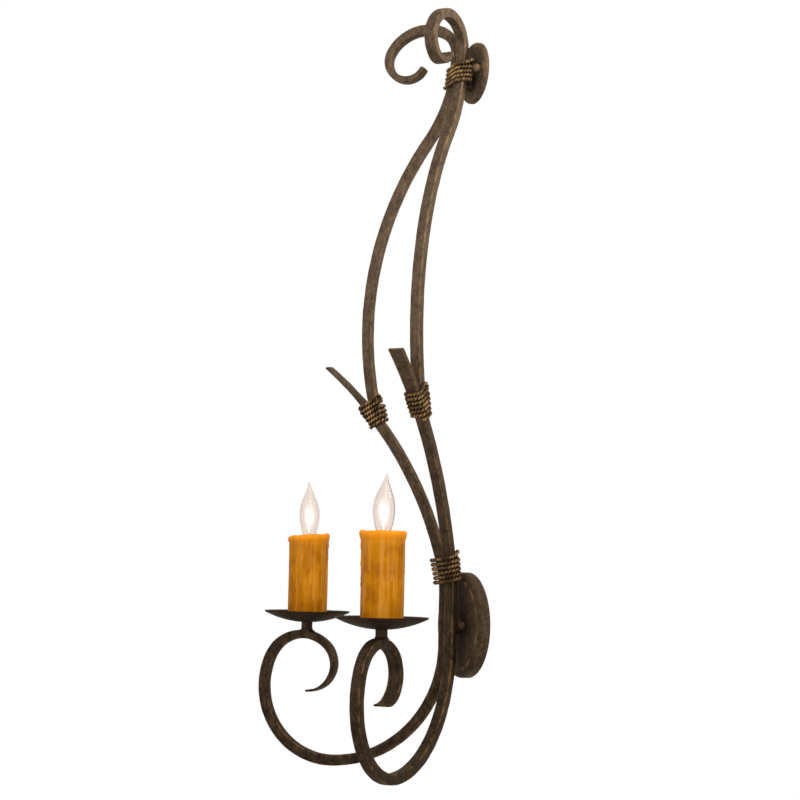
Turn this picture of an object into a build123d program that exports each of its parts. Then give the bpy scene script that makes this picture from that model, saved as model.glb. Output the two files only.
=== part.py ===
from build123d import *
import os
from math import acos, asin, atan2, cos, degrees, hypot, radians, sin, sqrt, tan

# Two-armed wall light of forged square bar with wire wraps and two candle lamps
# Wall plane is Y = 0, the room is on the -Y side, Z = 0 is the middle of the wall canopy
# Driving dimensions in millimetres and degrees

# Square bar and square tube
bar_size = 12.7
bar_corner = 2.0
tube_wall = 1.6
splay_angle = 40.0
bar_gap = 0.4
weld_gap = 0.1

# Wall canopy and what holds it
canopy_diameter = 127.0
canopy_depth = 13.0
canopy_edge_radius = 5.5
canopy_sheet = 1.2
canopy_stud_spacing = 42.0
collar_diameter = 21.0
collar_thickness = 5.8
strap_end = 9.55
strap_width = 20.0
strap_thickness = 2.5
box_screw_spacing = 88.9
box_slot_length = 12.0
box_slot_width = 5.0
stud_diameter = 4.0
ball_diameter = 10.0
ball_flat_diameter = 6.0
ball_hole_depth = 6.5
stud_reach = 6.0
thread_clearance = 0.1
nipple_diameter = 9.7
nipple_bore = 7.4
nipple_tail = 3.8
nipple_recess = 1.0
lock_nut_across = 14.0
lock_nut_thickness = 3.0
ground_screw_head = 7.5
ground_screw_head_height = 2.5
ground_screw_diameter = 4.0
ground_screw_x = 31.0
ground_screw_grip = 2.0
strap_wire_hole = 11.0
connector_diameter = 8.0
connector_length = 15.0
connector_depth = 10.0

# Top wall plate and what holds it
plate_diameter = 76.2
plate_depth = 6.5
plate_edge_radius = 4.0
plate_sheet = 1.2
plate_height = 685.0
plate_stud_spacing = 48.0
plate_strap_length = 68.0
plate_strap_width = 14.0
plate_strap_thickness = 2.0
plate_screw_spacing = 60.0
plate_screw_hole = 4.5
post_diameter = 10.0
post_drop = 19.0
post_screw_diameter = 4.0
post_screw_head = 8.0
post_screw_head_height = 2.2
post_screw_length = 10.0
post_reach = 24.4

# Lower arm: a straight run at the wall, then tangent arcs down to the curl and up to the flare
wall_run_height = 42.4
wall_run_drop = 25.0
entry_radius = 143.7
entry_turn = 89.0
belly_radius = 88.8
belly_turn = 115.0
crown_radius = 46.0
past_crown_turn = 42.0
curl_radius = 32.8
curl_turn = 140.0
lean_radius = 115.0
lean_turn = 13.7
rise_radius = 466.0
rise_turn = 30.0
flare_turn = 6.2

# Upper bar: a straight run under the scroll, then two tangent arcs down to the lower arm
scroll_lift = 24.2
bow_lift = 21.5
bow_radius_ratio = 0.4555
foot_lead = 37.9
foot_lift = 3.13
foot_angle = 23.54
upper_lean = 0.5
scroll_rise_radius = 32.5
scroll_rise_turn = 68.6
scroll_back_radius = 52.5
scroll_back_turn = 81.6
scroll_curl_radius = 24.5
scroll_curl_turn = 183.8

# Forged ends, which spread sideways as they thin out
curl_tip_width = 20.0
curl_tip_thickness = 2.5
flare_tip_width = 19.5
flare_tip_thickness = 3.0
scroll_tip_width = 16.5
scroll_tip_thickness = 6.5
forge_ease = 1.3
curl_steps = 9
flare_steps = 4
scroll_steps = 8
forge_corner_share = 0.4

# Wire wraps
wire_diameter = 4.7
wire_pitch = 5.5
wrap_clearance = 1.35
wrap_flat_share = 0.1
lower_wrap_lead = 8.5
lower_wrap_turns = 6
lower_wrap_slant = 0.05
mid_wrap_lead = 48.0
mid_wrap_turns = 5
top_wrap_lead = 11.0
top_wrap_turns = 5
top_wrap_slant = 0.25

# Stem, pan and candle
stem_inset = 4.5
stem_diameter = 13.7
stem_bore = 8.0
stem_height = 9.7
pan_diameter = 105.0
pan_round = 116.0
pan_sheet = 1.5
pan_flat_diameter = 16.0
candle_diameter = 49.2
candle_lip_diameter = 53.0
candle_lip_height = 9.0
candle_bore = 38.0
candle_height = 104.0
candle_rim_radius = 3.0
seat_gap = 0.3

# Lamp holder and lamp
pan_nipple_diameter = 9.7
pan_nipple_bore = 6.4
pan_nipple_grip = 7.0
pan_nut_across = 13.0
pan_nut_thickness = 4.0
holder_diameter = 19.6
holder_height = 26.0
holder_drop = 16.0
holder_lead_hole = 3.4
shell_diameter = 13.6
shell_sheet = 0.5
shell_height = 15.0
contact_diameter = 6.0
contact_thickness = 1.0
cap_diameter = 11.9
cap_height = 14.5
cap_sheet = 0.5
cap_tip_diameter = 4.5
cap_tip_height = 1.5
glass_diameter = 25.4
glass_neck_diameter = 10.4
glass_wall = 0.9
glass_height = 82.0
glass_sink = 2.5
glass_widest = 40.0
glass_tip_diameter = 1.8
glass_neck_height = 4.0
glass_shoulder_height = 20.0
glass_shoulder_diameter = 18.8
glass_taper_height = 63.0
glass_taper_diameter = 15.0
lamp_stem_diameter = 5.0
lamp_stem_height = 22.0
lead_wire_spacing = 2.6
lead_wire_spread = 8.0
lead_wire_height = 16.0
lead_wire_grip = 4.0
filament_diameter = 0.8
filament_dip = 3.0
filament_bend = 1.2

# Fixture wiring
lead_diameter = 2.6
lead_hole = 6.0
lead_offset = 1.55
lead_bend = 5.0
lead_exit_bend = 5.5
lead_turn_bend = 3.2
lead_nipple_bend = 8.0
lead_exit_height = 0.0
lead_tail = 26.0
lead_fan_angle = 35.0
lead_wall_gap = 4.4

# Values worked out from the driving dimensions
splay = radians(splay_angle)
bar_half = bar_size / 2
bar_spread = (bar_half - bar_corner) * (cos(splay) + sin(splay)) + bar_corner
bar_round = (bar_half - bar_corner) * sqrt(2) + bar_corner
run_u = (bar_spread + bar_gap / 2) / sin(splay)
axis_depth = canopy_depth + collar_thickness + bar_spread - run_u * cos(splay)
crown_turn = 270.0 - entry_turn - belly_turn
strap_length = box_screw_spacing + 2 * strap_end
scroll_start = plate_height + scroll_lift
bow_start = plate_height + bow_lift
tube_bore = bar_size - 2 * tube_wall
wire_radius = wire_diameter / 2
wrap_radius = bar_round + wire_radius + wrap_clearance

out_dir = Vector(sin(splay), -cos(splay), 0)
side_dir = Vector(-cos(splay), -sin(splay), 0)
arm_plane = Plane(origin=(0, -axis_depth, 0), x_dir=out_dir, z_dir=side_dir)

os.makedirs("parts", exist_ok=True)


def write(builder, name):
    """Label a finished piece and write it."""
    builder.part.label = name
    export_step(builder.part, f"parts/{name}.step")


def arc_chain(start, heading, turns):
    """Tangent arcs in the arm plane: start, first heading and (radius, turn) pairs."""
    with BuildLine(arm_plane) as chain:
        run = JernArc(start, heading, *turns[0])
        for radius, turn in turns[1:]:
            run = JernArc(run @ 1, run % 1, radius, turn)
    return chain.wire()


def fall_chain(top):
    """The arm's line from a height on the wall run down and round to the crown."""
    with BuildLine(arm_plane) as chain:
        run = Line((run_u, top), (run_u, -wall_run_drop))
        entry = JernArc(run @ 1, run % 1, entry_radius, entry_turn)
        JernArc(entry @ 1, entry % 1, belly_radius, belly_turn)
    return chain.wire()


def section_plane(path, share):
    """A plane square to a path in the arm plane, with its X axis across the arm."""
    return Plane(origin=path @ share, x_dir=side_dir, z_dir=path % share)


def forged_section(path, share, tip_width, tip_thickness):
    """One section of a forged end, from the square bar at 0 to the tip at 1."""
    eased = share**forge_ease
    width = bar_size + (tip_width - bar_size) * eased
    thickness = bar_size + (tip_thickness - bar_size) * eased
    with BuildSketch(section_plane(path, share)) as section:
        RectangleRounded(width, thickness, min(bar_corner, forge_corner_share * thickness))
    return section.sketch


def joint_of_arcs(flat_end, flat_heading, tight_end, tight_heading, reach):
    """The point and heading where two tangent arcs meet between two headed points."""
    span = tight_end - flat_end
    rest = span.dot(span) - 2 * reach * span.dot(flat_heading)
    rest /= 2 * (span.dot(tight_heading) + reach * (1 - flat_heading.dot(tight_heading)))
    first = flat_end + flat_heading * reach
    second = tight_end - tight_heading * rest
    return first + (second - first) * (reach / (reach + rest)), (second - first).normalized()


def winding(foot, head, across, spread_foot, spread_head, turns, slant):
    """A wire wound round one bar or two side by side, on two arcs for each quarter turn."""
    axis = (head - foot).normalized()
    depth = axis.cross(across).normalized()
    across = depth.cross(axis)
    quarters = 4 * turns

    def station(quarter):
        share = quarter / quarters
        angle = radians(90 * quarter - 90)
        spread = spread_foot + (spread_head - spread_foot) * share
        aside = (wrap_radius + spread) * cos(angle)
        deep = wrap_radius * sin(angle)
        return foot + (head - foot) * share + across * aside + depth * deep + axis * (slant * deep)

    stations = [station(quarter) for quarter in range(-1, quarters + 2)]
    headings = [(b - a).normalized() for a, b in zip(stations, stations[2:])]
    points = stations[1:-1]
    with BuildLine() as line:
        Line(points[0] - headings[0] * wire_diameter, points[0])
        for quarter in range(quarters):
            start, end = points[quarter], points[quarter + 1]
            leave, arrive = headings[quarter], headings[quarter + 1]
            spread = spread_foot + (spread_head - spread_foot) * (quarter + 0.5) / quarters
            reach = spread / 2 + wrap_flat_share * wrap_radius
            if quarter % 2 == 0:
                middle, heading = joint_of_arcs(start, leave, end, arrive, reach)
            else:
                middle, heading = joint_of_arcs(end, arrive * -1, start, leave * -1, reach)
                heading = heading * -1
            TangentArc(start, middle, tangent=leave)
            TangentArc(middle, end, tangent=heading)
        Line(points[-1], points[-1] + headings[-1] * wire_diameter)
    return line.wire()


def least_gap(path, turns):
    """The least gap between turns of a winding, measured on points along it."""
    per_turn = 48
    count = per_turn * turns
    points = [path @ (i / count) for i in range(count + 1)]
    half_turn = per_turn // 2
    apart = [(a - b).length for i, a in enumerate(points) for b in points[i + half_turn :]]
    return min(apart) - wire_diameter


def wind(path):
    """The wire along a winding's path, inside the part being built."""
    with BuildSketch(Plane(origin=path @ 0, z_dir=path % 0)) as section:
        Circle(wire_radius)
    sweep(sections=section.sketch, path=path)


# Lines of the lower arm and of the upper bar
rise_path = arc_chain(
    (run_u, wall_run_height), (0, 1), [(lean_radius, -lean_turn), (rise_radius, -rise_turn)]
)
flare_path = arc_chain(rise_path @ 1, rise_path % 1, [(rise_radius, -flare_turn)])
fall_path = fall_chain(wall_run_height)
bore_path = fall_chain(lead_exit_height + lead_hole)
crown_path = arc_chain(fall_path @ 1, fall_path % 1, [(crown_radius, crown_turn)])
stem_turn = degrees(asin((stem_inset + lead_hole / 2) / crown_radius))
lead_hole_path = arc_chain(fall_path @ 1, fall_path % 1, [(crown_radius, crown_turn + stem_turn)])
curl_path = arc_chain(
    fall_path @ 1,
    fall_path % 1,
    [(crown_radius, crown_turn + past_crown_turn), (curl_radius, curl_turn)],
)
scroll_path = arc_chain((run_u, scroll_start), (0, 1), [(scroll_rise_radius, -scroll_rise_turn)])
scroll_end_path = arc_chain(
    scroll_path @ 1,
    scroll_path % 1,
    [(scroll_back_radius, -scroll_back_turn), (scroll_curl_radius, -scroll_curl_turn)],
)

# The two arcs that bring the upper bar from under the scroll to its foot on the lower arm
foot_share = 1 - foot_lead / rise_path.length
foot_up = side_dir.cross(rise_path % foot_share)
foot_point = rise_path @ foot_share + foot_up * foot_lift
foot = arm_plane.to_local_coords(foot_point)
lean_line = Axis(foot_point, (1, 0, 0))
foot_lean = radians(lean_turn + rise_turn - foot_angle) - foot_lead / rise_radius
foot_out = foot.X - run_u
foot_fall = bow_start - foot.Y
turn_share = foot_fall * (bow_radius_ratio + cos(foot_lean)) - foot_out * sin(foot_lean)
turn_share /= (bow_radius_ratio + 1) * hypot(foot_out, foot_fall)
bow_lean = atan2(foot_out, foot_fall) + acos(turn_share)
bow_out_radius = foot_fall / ((bow_radius_ratio + 1) * sin(bow_lean) + sin(foot_lean))
bow_in_radius = bow_radius_ratio * bow_out_radius
with BuildLine(arm_plane) as bow:
    under_scroll = Line((run_u, scroll_start), (run_u, bow_start))
    bow_in = JernArc(under_scroll @ 1, under_scroll % 1, bow_in_radius, degrees(bow_lean))
    JernArc(bow_in @ 1, bow_in % 1, bow_out_radius, -degrees(bow_lean + foot_lean))
bow_path = bow.wire()

# The candle's axis and the heights that are stacked on it
crown = crown_path @ 1
crown_share = crown_path.length / curl_path.length
crown_thickness = bar_size + (curl_tip_thickness - bar_size) * crown_share**forge_ease
candle_x = crown.X - stem_inset * sin(splay)
candle_y = crown.Y + stem_inset * cos(splay)
pan_base = crown.Z + crown_thickness / 2 + stem_height
pan_floor = pan_base + pan_sheet
pan_centre = sqrt(pan_round**2 - (pan_flat_diameter / 2) ** 2)
pan_inner_round = pan_round - pan_sheet
candle_base = pan_base + pan_centre - sqrt(pan_inner_round**2 - (candle_diameter / 2) ** 2) + seat_gap
candle_top = candle_base + candle_height
holder_top = candle_top - holder_drop
holder_bottom = holder_top - holder_height
shell_bottom = holder_top - shell_height
cap_bottom = shell_bottom + contact_thickness + seat_gap + cap_tip_height
glass_bottom = cap_bottom + cap_height - glass_sink


def candle_axis(height):
    """A level plane on the right-hand candle's axis."""
    return Plane(origin=(candle_x, candle_y, height))


def candle_section(height):
    """An upright plane through the right-hand candle's axis, with Y up from a height."""
    return Plane(origin=(candle_x, candle_y, height), x_dir=(1, 0, 0), z_dir=(0, -1, 0))


candle_line = Axis((candle_x, candle_y, 0), (0, 0, 1))

# Lower arm: tube from the canopy round to the crown, forged flat at both ends
with BuildPart() as arm_blank:
    with BuildSketch(section_plane(rise_path, 0)):
        RectangleRounded(bar_size, bar_size, bar_corner)
    sweep(path=rise_path)
    with BuildSketch(section_plane(fall_path, 0)):
        RectangleRounded(bar_size, bar_size, bar_corner)
    sweep(path=fall_path)
    loft(
        sections=[
            forged_section(flare_path, step / flare_steps, flare_tip_width, flare_tip_thickness)
            for step in range(flare_steps + 1)
        ]
    )
    loft(
        sections=[
            forged_section(curl_path, step / curl_steps, curl_tip_width, curl_tip_thickness)
            for step in range(curl_steps + 1)
        ]
    )

lead_exit = arm_plane.from_local_coords(Vector(run_u, lead_exit_height, 0))
with BuildPart() as lower_arm_right:
    add(arm_blank.part)
    with BuildSketch(section_plane(bore_path, 0)):
        Rectangle(tube_bore, tube_bore)
    sweep(path=bore_path, mode=Mode.SUBTRACT)
    with BuildSketch(section_plane(lead_hole_path, 0)):
        Circle(lead_hole / 2)
    sweep(path=lead_hole_path, mode=Mode.SUBTRACT)
    with BuildSketch(candle_axis(crown.Z)):
        Circle(stem_bore / 2)
    extrude(amount=bar_size, mode=Mode.SUBTRACT)
    with BuildSketch(Plane(origin=lead_exit, z_dir=out_dir * -1)):
        Circle(lead_hole / 2)
    extrude(amount=bar_size, mode=Mode.SUBTRACT)
write(lower_arm_right, "lower_arm_right")

with BuildPart() as lower_arm_left:
    mirror(lower_arm_right.part, about=Plane.YZ)
write(lower_arm_left, "lower_arm_left")

# Upper bar: scrolled at its top, leant to the wall and scarfed at its foot to lie on the lower arm
rise_centre = rise_path.edges().sort_by(SortBy.RADIUS)[-1].arc_center
with BuildPart() as upper_bar_blank:
    with BuildSketch(section_plane(bow_path, 0)):
        RectangleRounded(bar_size, bar_size, bar_corner)
    sweep(path=bow_path)
    with BuildSketch(section_plane(scroll_path, 0)):
        RectangleRounded(bar_size, bar_size, bar_corner)
    sweep(path=scroll_path)
    loft(
        sections=[
            forged_section(scroll_end_path, step / scroll_steps, scroll_tip_width, scroll_tip_thickness)
            for step in range(scroll_steps + 1)
        ]
    )

with BuildPart() as upper_bar_right:
    add(upper_bar_blank.part.rotate(lean_line, -upper_lean))
    with BuildSketch(Plane(origin=rise_centre, x_dir=out_dir, z_dir=side_dir)):
        Circle(rise_radius + bar_half + weld_gap)
    extrude(amount=bar_size, both=True, mode=Mode.SUBTRACT)
write(upper_bar_right, "upper_bar_right")

with BuildPart() as upper_bar_left:
    mirror(upper_bar_right.part, about=Plane.YZ)
write(upper_bar_left, "upper_bar_left")

# Wire wrap round both lower arms, above the wall run
lower_foot = rise_path.position_at(lower_wrap_lead, position_mode=PositionMode.LENGTH)
lower_head = rise_path.position_at(
    lower_wrap_lead + lower_wrap_turns * wire_pitch, position_mode=PositionMode.LENGTH
)
lower_wrap_path = winding(
    Vector(0, lower_foot.Y, lower_foot.Z),
    Vector(0, lower_head.Y, lower_head.Z),
    Vector(1, 0, 0),
    lower_foot.X,
    lower_head.X,
    lower_wrap_turns,
    lower_wrap_slant,
)
with BuildPart() as lower_wrap:
    wind(lower_wrap_path)
write(lower_wrap, "lower_wrap")

# Wire wrap round both upper bars, under the scrolls
top_head = bow_path.position_at(top_wrap_lead, position_mode=PositionMode.LENGTH)
top_foot = bow_path.position_at(
    top_wrap_lead + top_wrap_turns * wire_pitch, position_mode=PositionMode.LENGTH
)
top_wrap_path = winding(
    Vector(0, top_foot.Y, top_foot.Z),
    Vector(0, top_head.Y, top_head.Z),
    Vector(1, 0, 0),
    top_foot.X,
    top_head.X,
    top_wrap_turns,
    top_wrap_slant,
)
with BuildPart() as top_winding:
    wind(top_wrap_path)

with BuildPart() as top_wrap:
    add(top_winding.part.rotate(lean_line, -upper_lean))
write(top_wrap, "top_wrap")

# Wire wrap that binds the upper bar's scarfed foot to the lower arm
mid_wrap_length = mid_wrap_turns * wire_pitch
mid_foot = rise_path.position_at(rise_path.length - mid_wrap_lead, position_mode=PositionMode.LENGTH)
mid_share = (rise_path.length - mid_wrap_lead + mid_wrap_length) / rise_path.length
mid_up = (rise_path % mid_share).cross(side_dir) * -1
mid_head = rise_path @ mid_share + mid_up * bar_half
mid_wrap_path = winding(mid_foot, mid_head, mid_up, 0, bar_half, mid_wrap_turns, 0)
with BuildPart() as mid_wrap_right:
    wind(mid_wrap_path)
write(mid_wrap_right, "mid_wrap_right")

with BuildPart() as mid_wrap_left:
    mirror(mid_wrap_right.part, about=Plane.YZ)
write(mid_wrap_left, "mid_wrap_left")

print("least gap in lower_wrap", round(least_gap(lower_wrap_path, lower_wrap_turns), 3))
print("least gap in top_wrap", round(least_gap(top_wrap_path, top_wrap_turns), 3))
print("least gap in mid_wrap", round(least_gap(mid_wrap_path, mid_wrap_turns), 3))

# Canopy: a shallow cup on the wall that covers the electrical box
canopy_face = -canopy_depth
with BuildPart() as canopy:
    with BuildSketch(Plane.XZ):
        Circle(canopy_diameter / 2)
    extrude(amount=canopy_depth)
    fillet(canopy.edges().group_by(Axis.Y)[0], radius=canopy_edge_radius)
    offset(openings=canopy.faces().sort_by(Axis.Y)[-1], amount=-canopy_sheet)
    with BuildSketch(Plane.XZ):
        Circle(nipple_diameter / 2 + thread_clearance)
        with GridLocations(canopy_stud_spacing, 0, 2, 1):
            Circle(stud_diameter / 2 + thread_clearance)
    extrude(amount=canopy_depth, mode=Mode.SUBTRACT)
write(canopy, "canopy")

# Strap that is screwed to the electrical box
with BuildPart() as mounting_strap:
    with BuildSketch(Plane.XZ):
        SlotOverall(strap_length, strap_width)
        Circle(strap_wire_hole / 2, mode=Mode.SUBTRACT)
        with GridLocations(canopy_stud_spacing, 0, 2, 1):
            Circle(stud_diameter / 2 + thread_clearance, mode=Mode.SUBTRACT)
        with GridLocations(box_screw_spacing, 0, 2, 1):
            SlotOverall(box_slot_length, box_slot_width, mode=Mode.SUBTRACT)
        with Locations((ground_screw_x, 0)):
            Circle(ground_screw_diameter / 2 + thread_clearance, mode=Mode.SUBTRACT)
    extrude(amount=strap_thickness)
write(mounting_strap, "mounting_strap")

with BuildPart() as canopy_studs:
    with BuildSketch(Plane.XZ):
        with GridLocations(canopy_stud_spacing, 0, 2, 1):
            Circle(stud_diameter / 2)
    extrude(amount=canopy_depth + stud_reach)
write(canopy_studs, "canopy_studs")

# Ball nuts: a ball with a flat seat and a blind threaded hole
ball_rise = sqrt((ball_diameter / 2) ** 2 - (ball_flat_diameter / 2) ** 2)


def ball_nuts(spacing, face, height):
    """A pair of ball nuts seated on a wall plate's face, inside the part being built."""
    with Locations((-spacing / 2, face - ball_rise, height), (spacing / 2, face - ball_rise, height)):
        Sphere(ball_diameter / 2)
    with BuildSketch(Plane.XZ.offset(-face)) as seat:
        with Locations((-spacing / 2, height), (spacing / 2, height)):
            Circle(ball_diameter / 2)
    extrude(to_extrude=seat.sketch, amount=-ball_diameter, mode=Mode.SUBTRACT)
    with BuildSketch(Plane.XZ.offset(-face)) as hole:
        with Locations((-spacing / 2, height), (spacing / 2, height)):
            Circle(stud_diameter / 2 + thread_clearance)
    extrude(to_extrude=hole.sketch, amount=ball_hole_depth, mode=Mode.SUBTRACT)


with BuildPart() as canopy_ball_nuts:
    ball_nuts(canopy_stud_spacing, canopy_face, 0)
write(canopy_ball_nuts, "canopy_ball_nuts")

# Collar between the canopy and the two lower arms, on a threaded nipple
with BuildPart() as bar_collar:
    with BuildSketch(Plane.XZ.offset(canopy_depth)):
        Circle(collar_diameter / 2)
        Circle(nipple_diameter / 2 + thread_clearance, mode=Mode.SUBTRACT)
    extrude(amount=collar_thickness)
write(bar_collar, "bar_collar")

nipple_front = canopy_depth + collar_thickness - nipple_recess
nipple_rear = canopy_depth - canopy_sheet - nipple_tail
with BuildPart() as center_nipple:
    with BuildSketch(Plane.XZ.offset(nipple_rear)):
        Circle(nipple_diameter / 2)
        Circle(nipple_bore / 2, mode=Mode.SUBTRACT)
    extrude(amount=nipple_front - nipple_rear)
write(center_nipple, "center_nipple")

with BuildPart() as nipple_lock_nut:
    with BuildSketch(Plane.XZ.offset(canopy_depth - canopy_sheet)):
        RegularPolygon(lock_nut_across / 2, 6, major_radius=False)
        Circle(nipple_diameter / 2 + thread_clearance, mode=Mode.SUBTRACT)
    extrude(amount=-lock_nut_thickness)
write(nipple_lock_nut, "nipple_lock_nut")

with BuildPart() as ground_screw:
    with BuildSketch(Plane.XZ.offset(strap_thickness)):
        with Locations((ground_screw_x, 0)):
            Circle(ground_screw_head / 2)
    extrude(amount=ground_screw_head_height)
    with BuildSketch(Plane.XZ.offset(strap_thickness)):
        with Locations((ground_screw_x, 0)):
            Circle(ground_screw_diameter / 2)
    extrude(amount=-ground_screw_grip)
write(ground_screw, "ground_screw")

# Top wall plate: a smaller cup with its own strap, studs and ball nuts
plate_face = -plate_depth
plate_inside = plate_face + plate_sheet
plate_plane = Plane.XZ.shift_origin((0, 0, plate_height))
post_z = plate_height - post_drop
with BuildPart() as top_plate:
    with BuildSketch(plate_plane):
        Circle(plate_diameter / 2)
    extrude(amount=plate_depth)
    fillet(top_plate.edges().group_by(Axis.Y)[0], radius=plate_edge_radius)
    offset(openings=top_plate.faces().sort_by(Axis.Y)[-1], amount=-plate_sheet)
    with BuildSketch(plate_plane):
        with GridLocations(plate_stud_spacing, 0, 2, 1):
            Circle(stud_diameter / 2 + thread_clearance)
        with Locations((0, -post_drop)):
            Circle(post_screw_diameter / 2 + thread_clearance)
    extrude(amount=plate_depth, mode=Mode.SUBTRACT)
write(top_plate, "top_plate")

with BuildPart() as top_strap:
    with BuildSketch(plate_plane):
        SlotOverall(plate_strap_length, plate_strap_width)
        with GridLocations(plate_stud_spacing, 0, 2, 1):
            Circle(stud_diameter / 2 + thread_clearance, mode=Mode.SUBTRACT)
        with GridLocations(plate_screw_spacing, 0, 2, 1):
            Circle(plate_screw_hole / 2, mode=Mode.SUBTRACT)
    extrude(amount=plate_strap_thickness)
write(top_strap, "top_strap")

with BuildPart() as top_studs:
    with BuildSketch(plate_plane):
        with GridLocations(plate_stud_spacing, 0, 2, 1):
            Circle(stud_diameter / 2)
    extrude(amount=plate_depth + stud_reach)
write(top_studs, "top_studs")

with BuildPart() as top_ball_nuts:
    ball_nuts(plate_stud_spacing, plate_face, plate_height)
write(top_ball_nuts, "top_ball_nuts")

# Post from the top plate into the groove between the two upper bars
post_plane = Plane.XZ.offset(plate_depth).shift_origin((0, plate_face, post_z))
with BuildPart() as top_post:
    with BuildSketch(post_plane):
        Circle(post_diameter / 2)
    extrude(amount=post_reach - plate_depth)
    add(upper_bar_right.part, mode=Mode.SUBTRACT)
    add(upper_bar_left.part, mode=Mode.SUBTRACT)
    with BuildSketch(post_plane):
        Circle(post_screw_diameter / 2 + thread_clearance)
    extrude(amount=post_screw_length, mode=Mode.SUBTRACT)
write(top_post, "top_post")

screw_plane = Plane.XZ.offset(-plate_inside).shift_origin((0, plate_inside, post_z))
with BuildPart() as top_post_screw:
    with BuildSketch(screw_plane):
        Circle(post_screw_head / 2)
    extrude(amount=-post_screw_head_height)
    with BuildSketch(screw_plane):
        Circle(post_screw_diameter / 2)
    extrude(amount=post_screw_length)
write(top_post_screw, "top_post_screw")

# Stem welded on the crown of the arm
with BuildPart() as stem_right:
    with BuildSketch(candle_axis(crown.Z)):
        Circle(stem_diameter / 2)
    extrude(amount=pan_base - crown.Z)
    add(arm_blank.part, mode=Mode.SUBTRACT)
    with BuildSketch(candle_axis(crown.Z)):
        Circle(stem_bore / 2)
    extrude(amount=pan_base - crown.Z, mode=Mode.SUBTRACT)
    with BuildSketch(candle_axis(pan_base)):
        Circle(pan_nipple_diameter / 2 + thread_clearance)
    extrude(amount=-pan_nipple_grip, mode=Mode.SUBTRACT)
write(stem_right, "stem_right")

with BuildPart() as stem_left:
    mirror(stem_right.part, about=Plane.YZ)
write(stem_left, "stem_left")

# Drip pan: a dished disc with a flat seat in the middle
with BuildPart() as drip_pan_right:
    with BuildSketch(candle_axis(pan_base)):
        Circle(pan_diameter / 2)
    extrude(amount=pan_round)
    with Locations((candle_x, candle_y, pan_base + pan_centre)):
        Sphere(pan_round, mode=Mode.INTERSECT)
        Sphere(pan_inner_round, mode=Mode.SUBTRACT)
    with BuildSketch(candle_axis(pan_base)):
        Circle(pan_flat_diameter / 2)
    extrude(amount=pan_sheet)
    with BuildSketch(candle_axis(pan_base)):
        Circle(pan_nipple_diameter / 2 + thread_clearance)
    extrude(amount=pan_sheet, mode=Mode.SUBTRACT)
    split(bisect_by=candle_axis(pan_base + pan_centre), keep=Keep.BOTTOM)
write(drip_pan_right, "drip_pan_right")

with BuildPart() as drip_pan_left:
    mirror(drip_pan_right.part, about=Plane.YZ)
write(drip_pan_left, "drip_pan_left")

# Threaded pipe from the stem up to the lamp holder, with the nut that clamps the pan
with BuildPart() as pan_nipple_right:
    with BuildSketch(candle_axis(pan_base - pan_nipple_grip)):
        Circle(pan_nipple_diameter / 2)
        Circle(pan_nipple_bore / 2, mode=Mode.SUBTRACT)
    extrude(amount=holder_bottom + pan_nipple_grip - pan_base + pan_nipple_grip)
write(pan_nipple_right, "pan_nipple_right")

with BuildPart() as pan_nipple_left:
    mirror(pan_nipple_right.part, about=Plane.YZ)
write(pan_nipple_left, "pan_nipple_left")

with BuildPart() as pan_lock_nut_right:
    with BuildSketch(candle_axis(pan_floor)):
        RegularPolygon(pan_nut_across / 2, 6, major_radius=False)
        Circle(pan_nipple_diameter / 2 + thread_clearance, mode=Mode.SUBTRACT)
    extrude(amount=pan_nut_thickness)
write(pan_lock_nut_right, "pan_lock_nut_right")

with BuildPart() as pan_lock_nut_left:
    mirror(pan_lock_nut_right.part, about=Plane.YZ)
write(pan_lock_nut_left, "pan_lock_nut_left")

# Candle sleeve that stands in the pan round the lamp holder
with BuildPart() as candle_sleeve_right:
    with BuildSketch(candle_section(candle_base)):
        with BuildLine():
            Polyline(
                (candle_bore / 2, 0),
                (candle_diameter / 2, 0),
                (candle_diameter / 2, candle_height - candle_lip_height),
                (candle_lip_diameter / 2, candle_height - candle_rim_radius),
                (candle_lip_diameter / 2, candle_height),
                (candle_bore / 2, candle_height),
                close=True,
            )
        make_face()
    revolve(axis=candle_line)
    fillet(candle_sleeve_right.edges().group_by(Axis.Z)[-1], radius=candle_rim_radius - seat_gap)
write(candle_sleeve_right, "candle_sleeve_right")

with BuildPart() as candle_sleeve_left:
    mirror(candle_sleeve_right.part, about=Plane.YZ)
write(candle_sleeve_left, "candle_sleeve_left")

# Lamp holder: insulating body, screw shell and centre contact
with BuildPart() as socket_right:
    with BuildSketch(candle_axis(holder_bottom)):
        Circle(holder_diameter / 2)
    extrude(amount=holder_height)
    with BuildSketch(candle_axis(shell_bottom)):
        Circle(shell_diameter / 2)
    extrude(amount=shell_height, mode=Mode.SUBTRACT)
    with BuildSketch(candle_axis(holder_bottom)):
        Circle(pan_nipple_diameter / 2 + thread_clearance)
    extrude(amount=pan_nipple_grip, mode=Mode.SUBTRACT)
    with BuildSketch(candle_axis(holder_bottom)):
        Circle(holder_lead_hole / 2)
    extrude(amount=holder_height, mode=Mode.SUBTRACT)
write(socket_right, "socket_right")

with BuildPart() as socket_left:
    mirror(socket_right.part, about=Plane.YZ)
write(socket_left, "socket_left")

with BuildPart() as screw_shell_right:
    with BuildSketch(candle_axis(shell_bottom)):
        Circle(shell_diameter / 2 - thread_clearance)
        Circle(shell_diameter / 2 - thread_clearance - shell_sheet, mode=Mode.SUBTRACT)
    extrude(amount=shell_height)
write(screw_shell_right, "screw_shell_right")

with BuildPart() as screw_shell_left:
    mirror(screw_shell_right.part, about=Plane.YZ)
write(screw_shell_left, "screw_shell_left")

with BuildPart() as center_contact_right:
    with BuildSketch(candle_axis(shell_bottom)):
        Circle(contact_diameter / 2)
    extrude(amount=contact_thickness)
write(center_contact_right, "center_contact_right")

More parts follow.
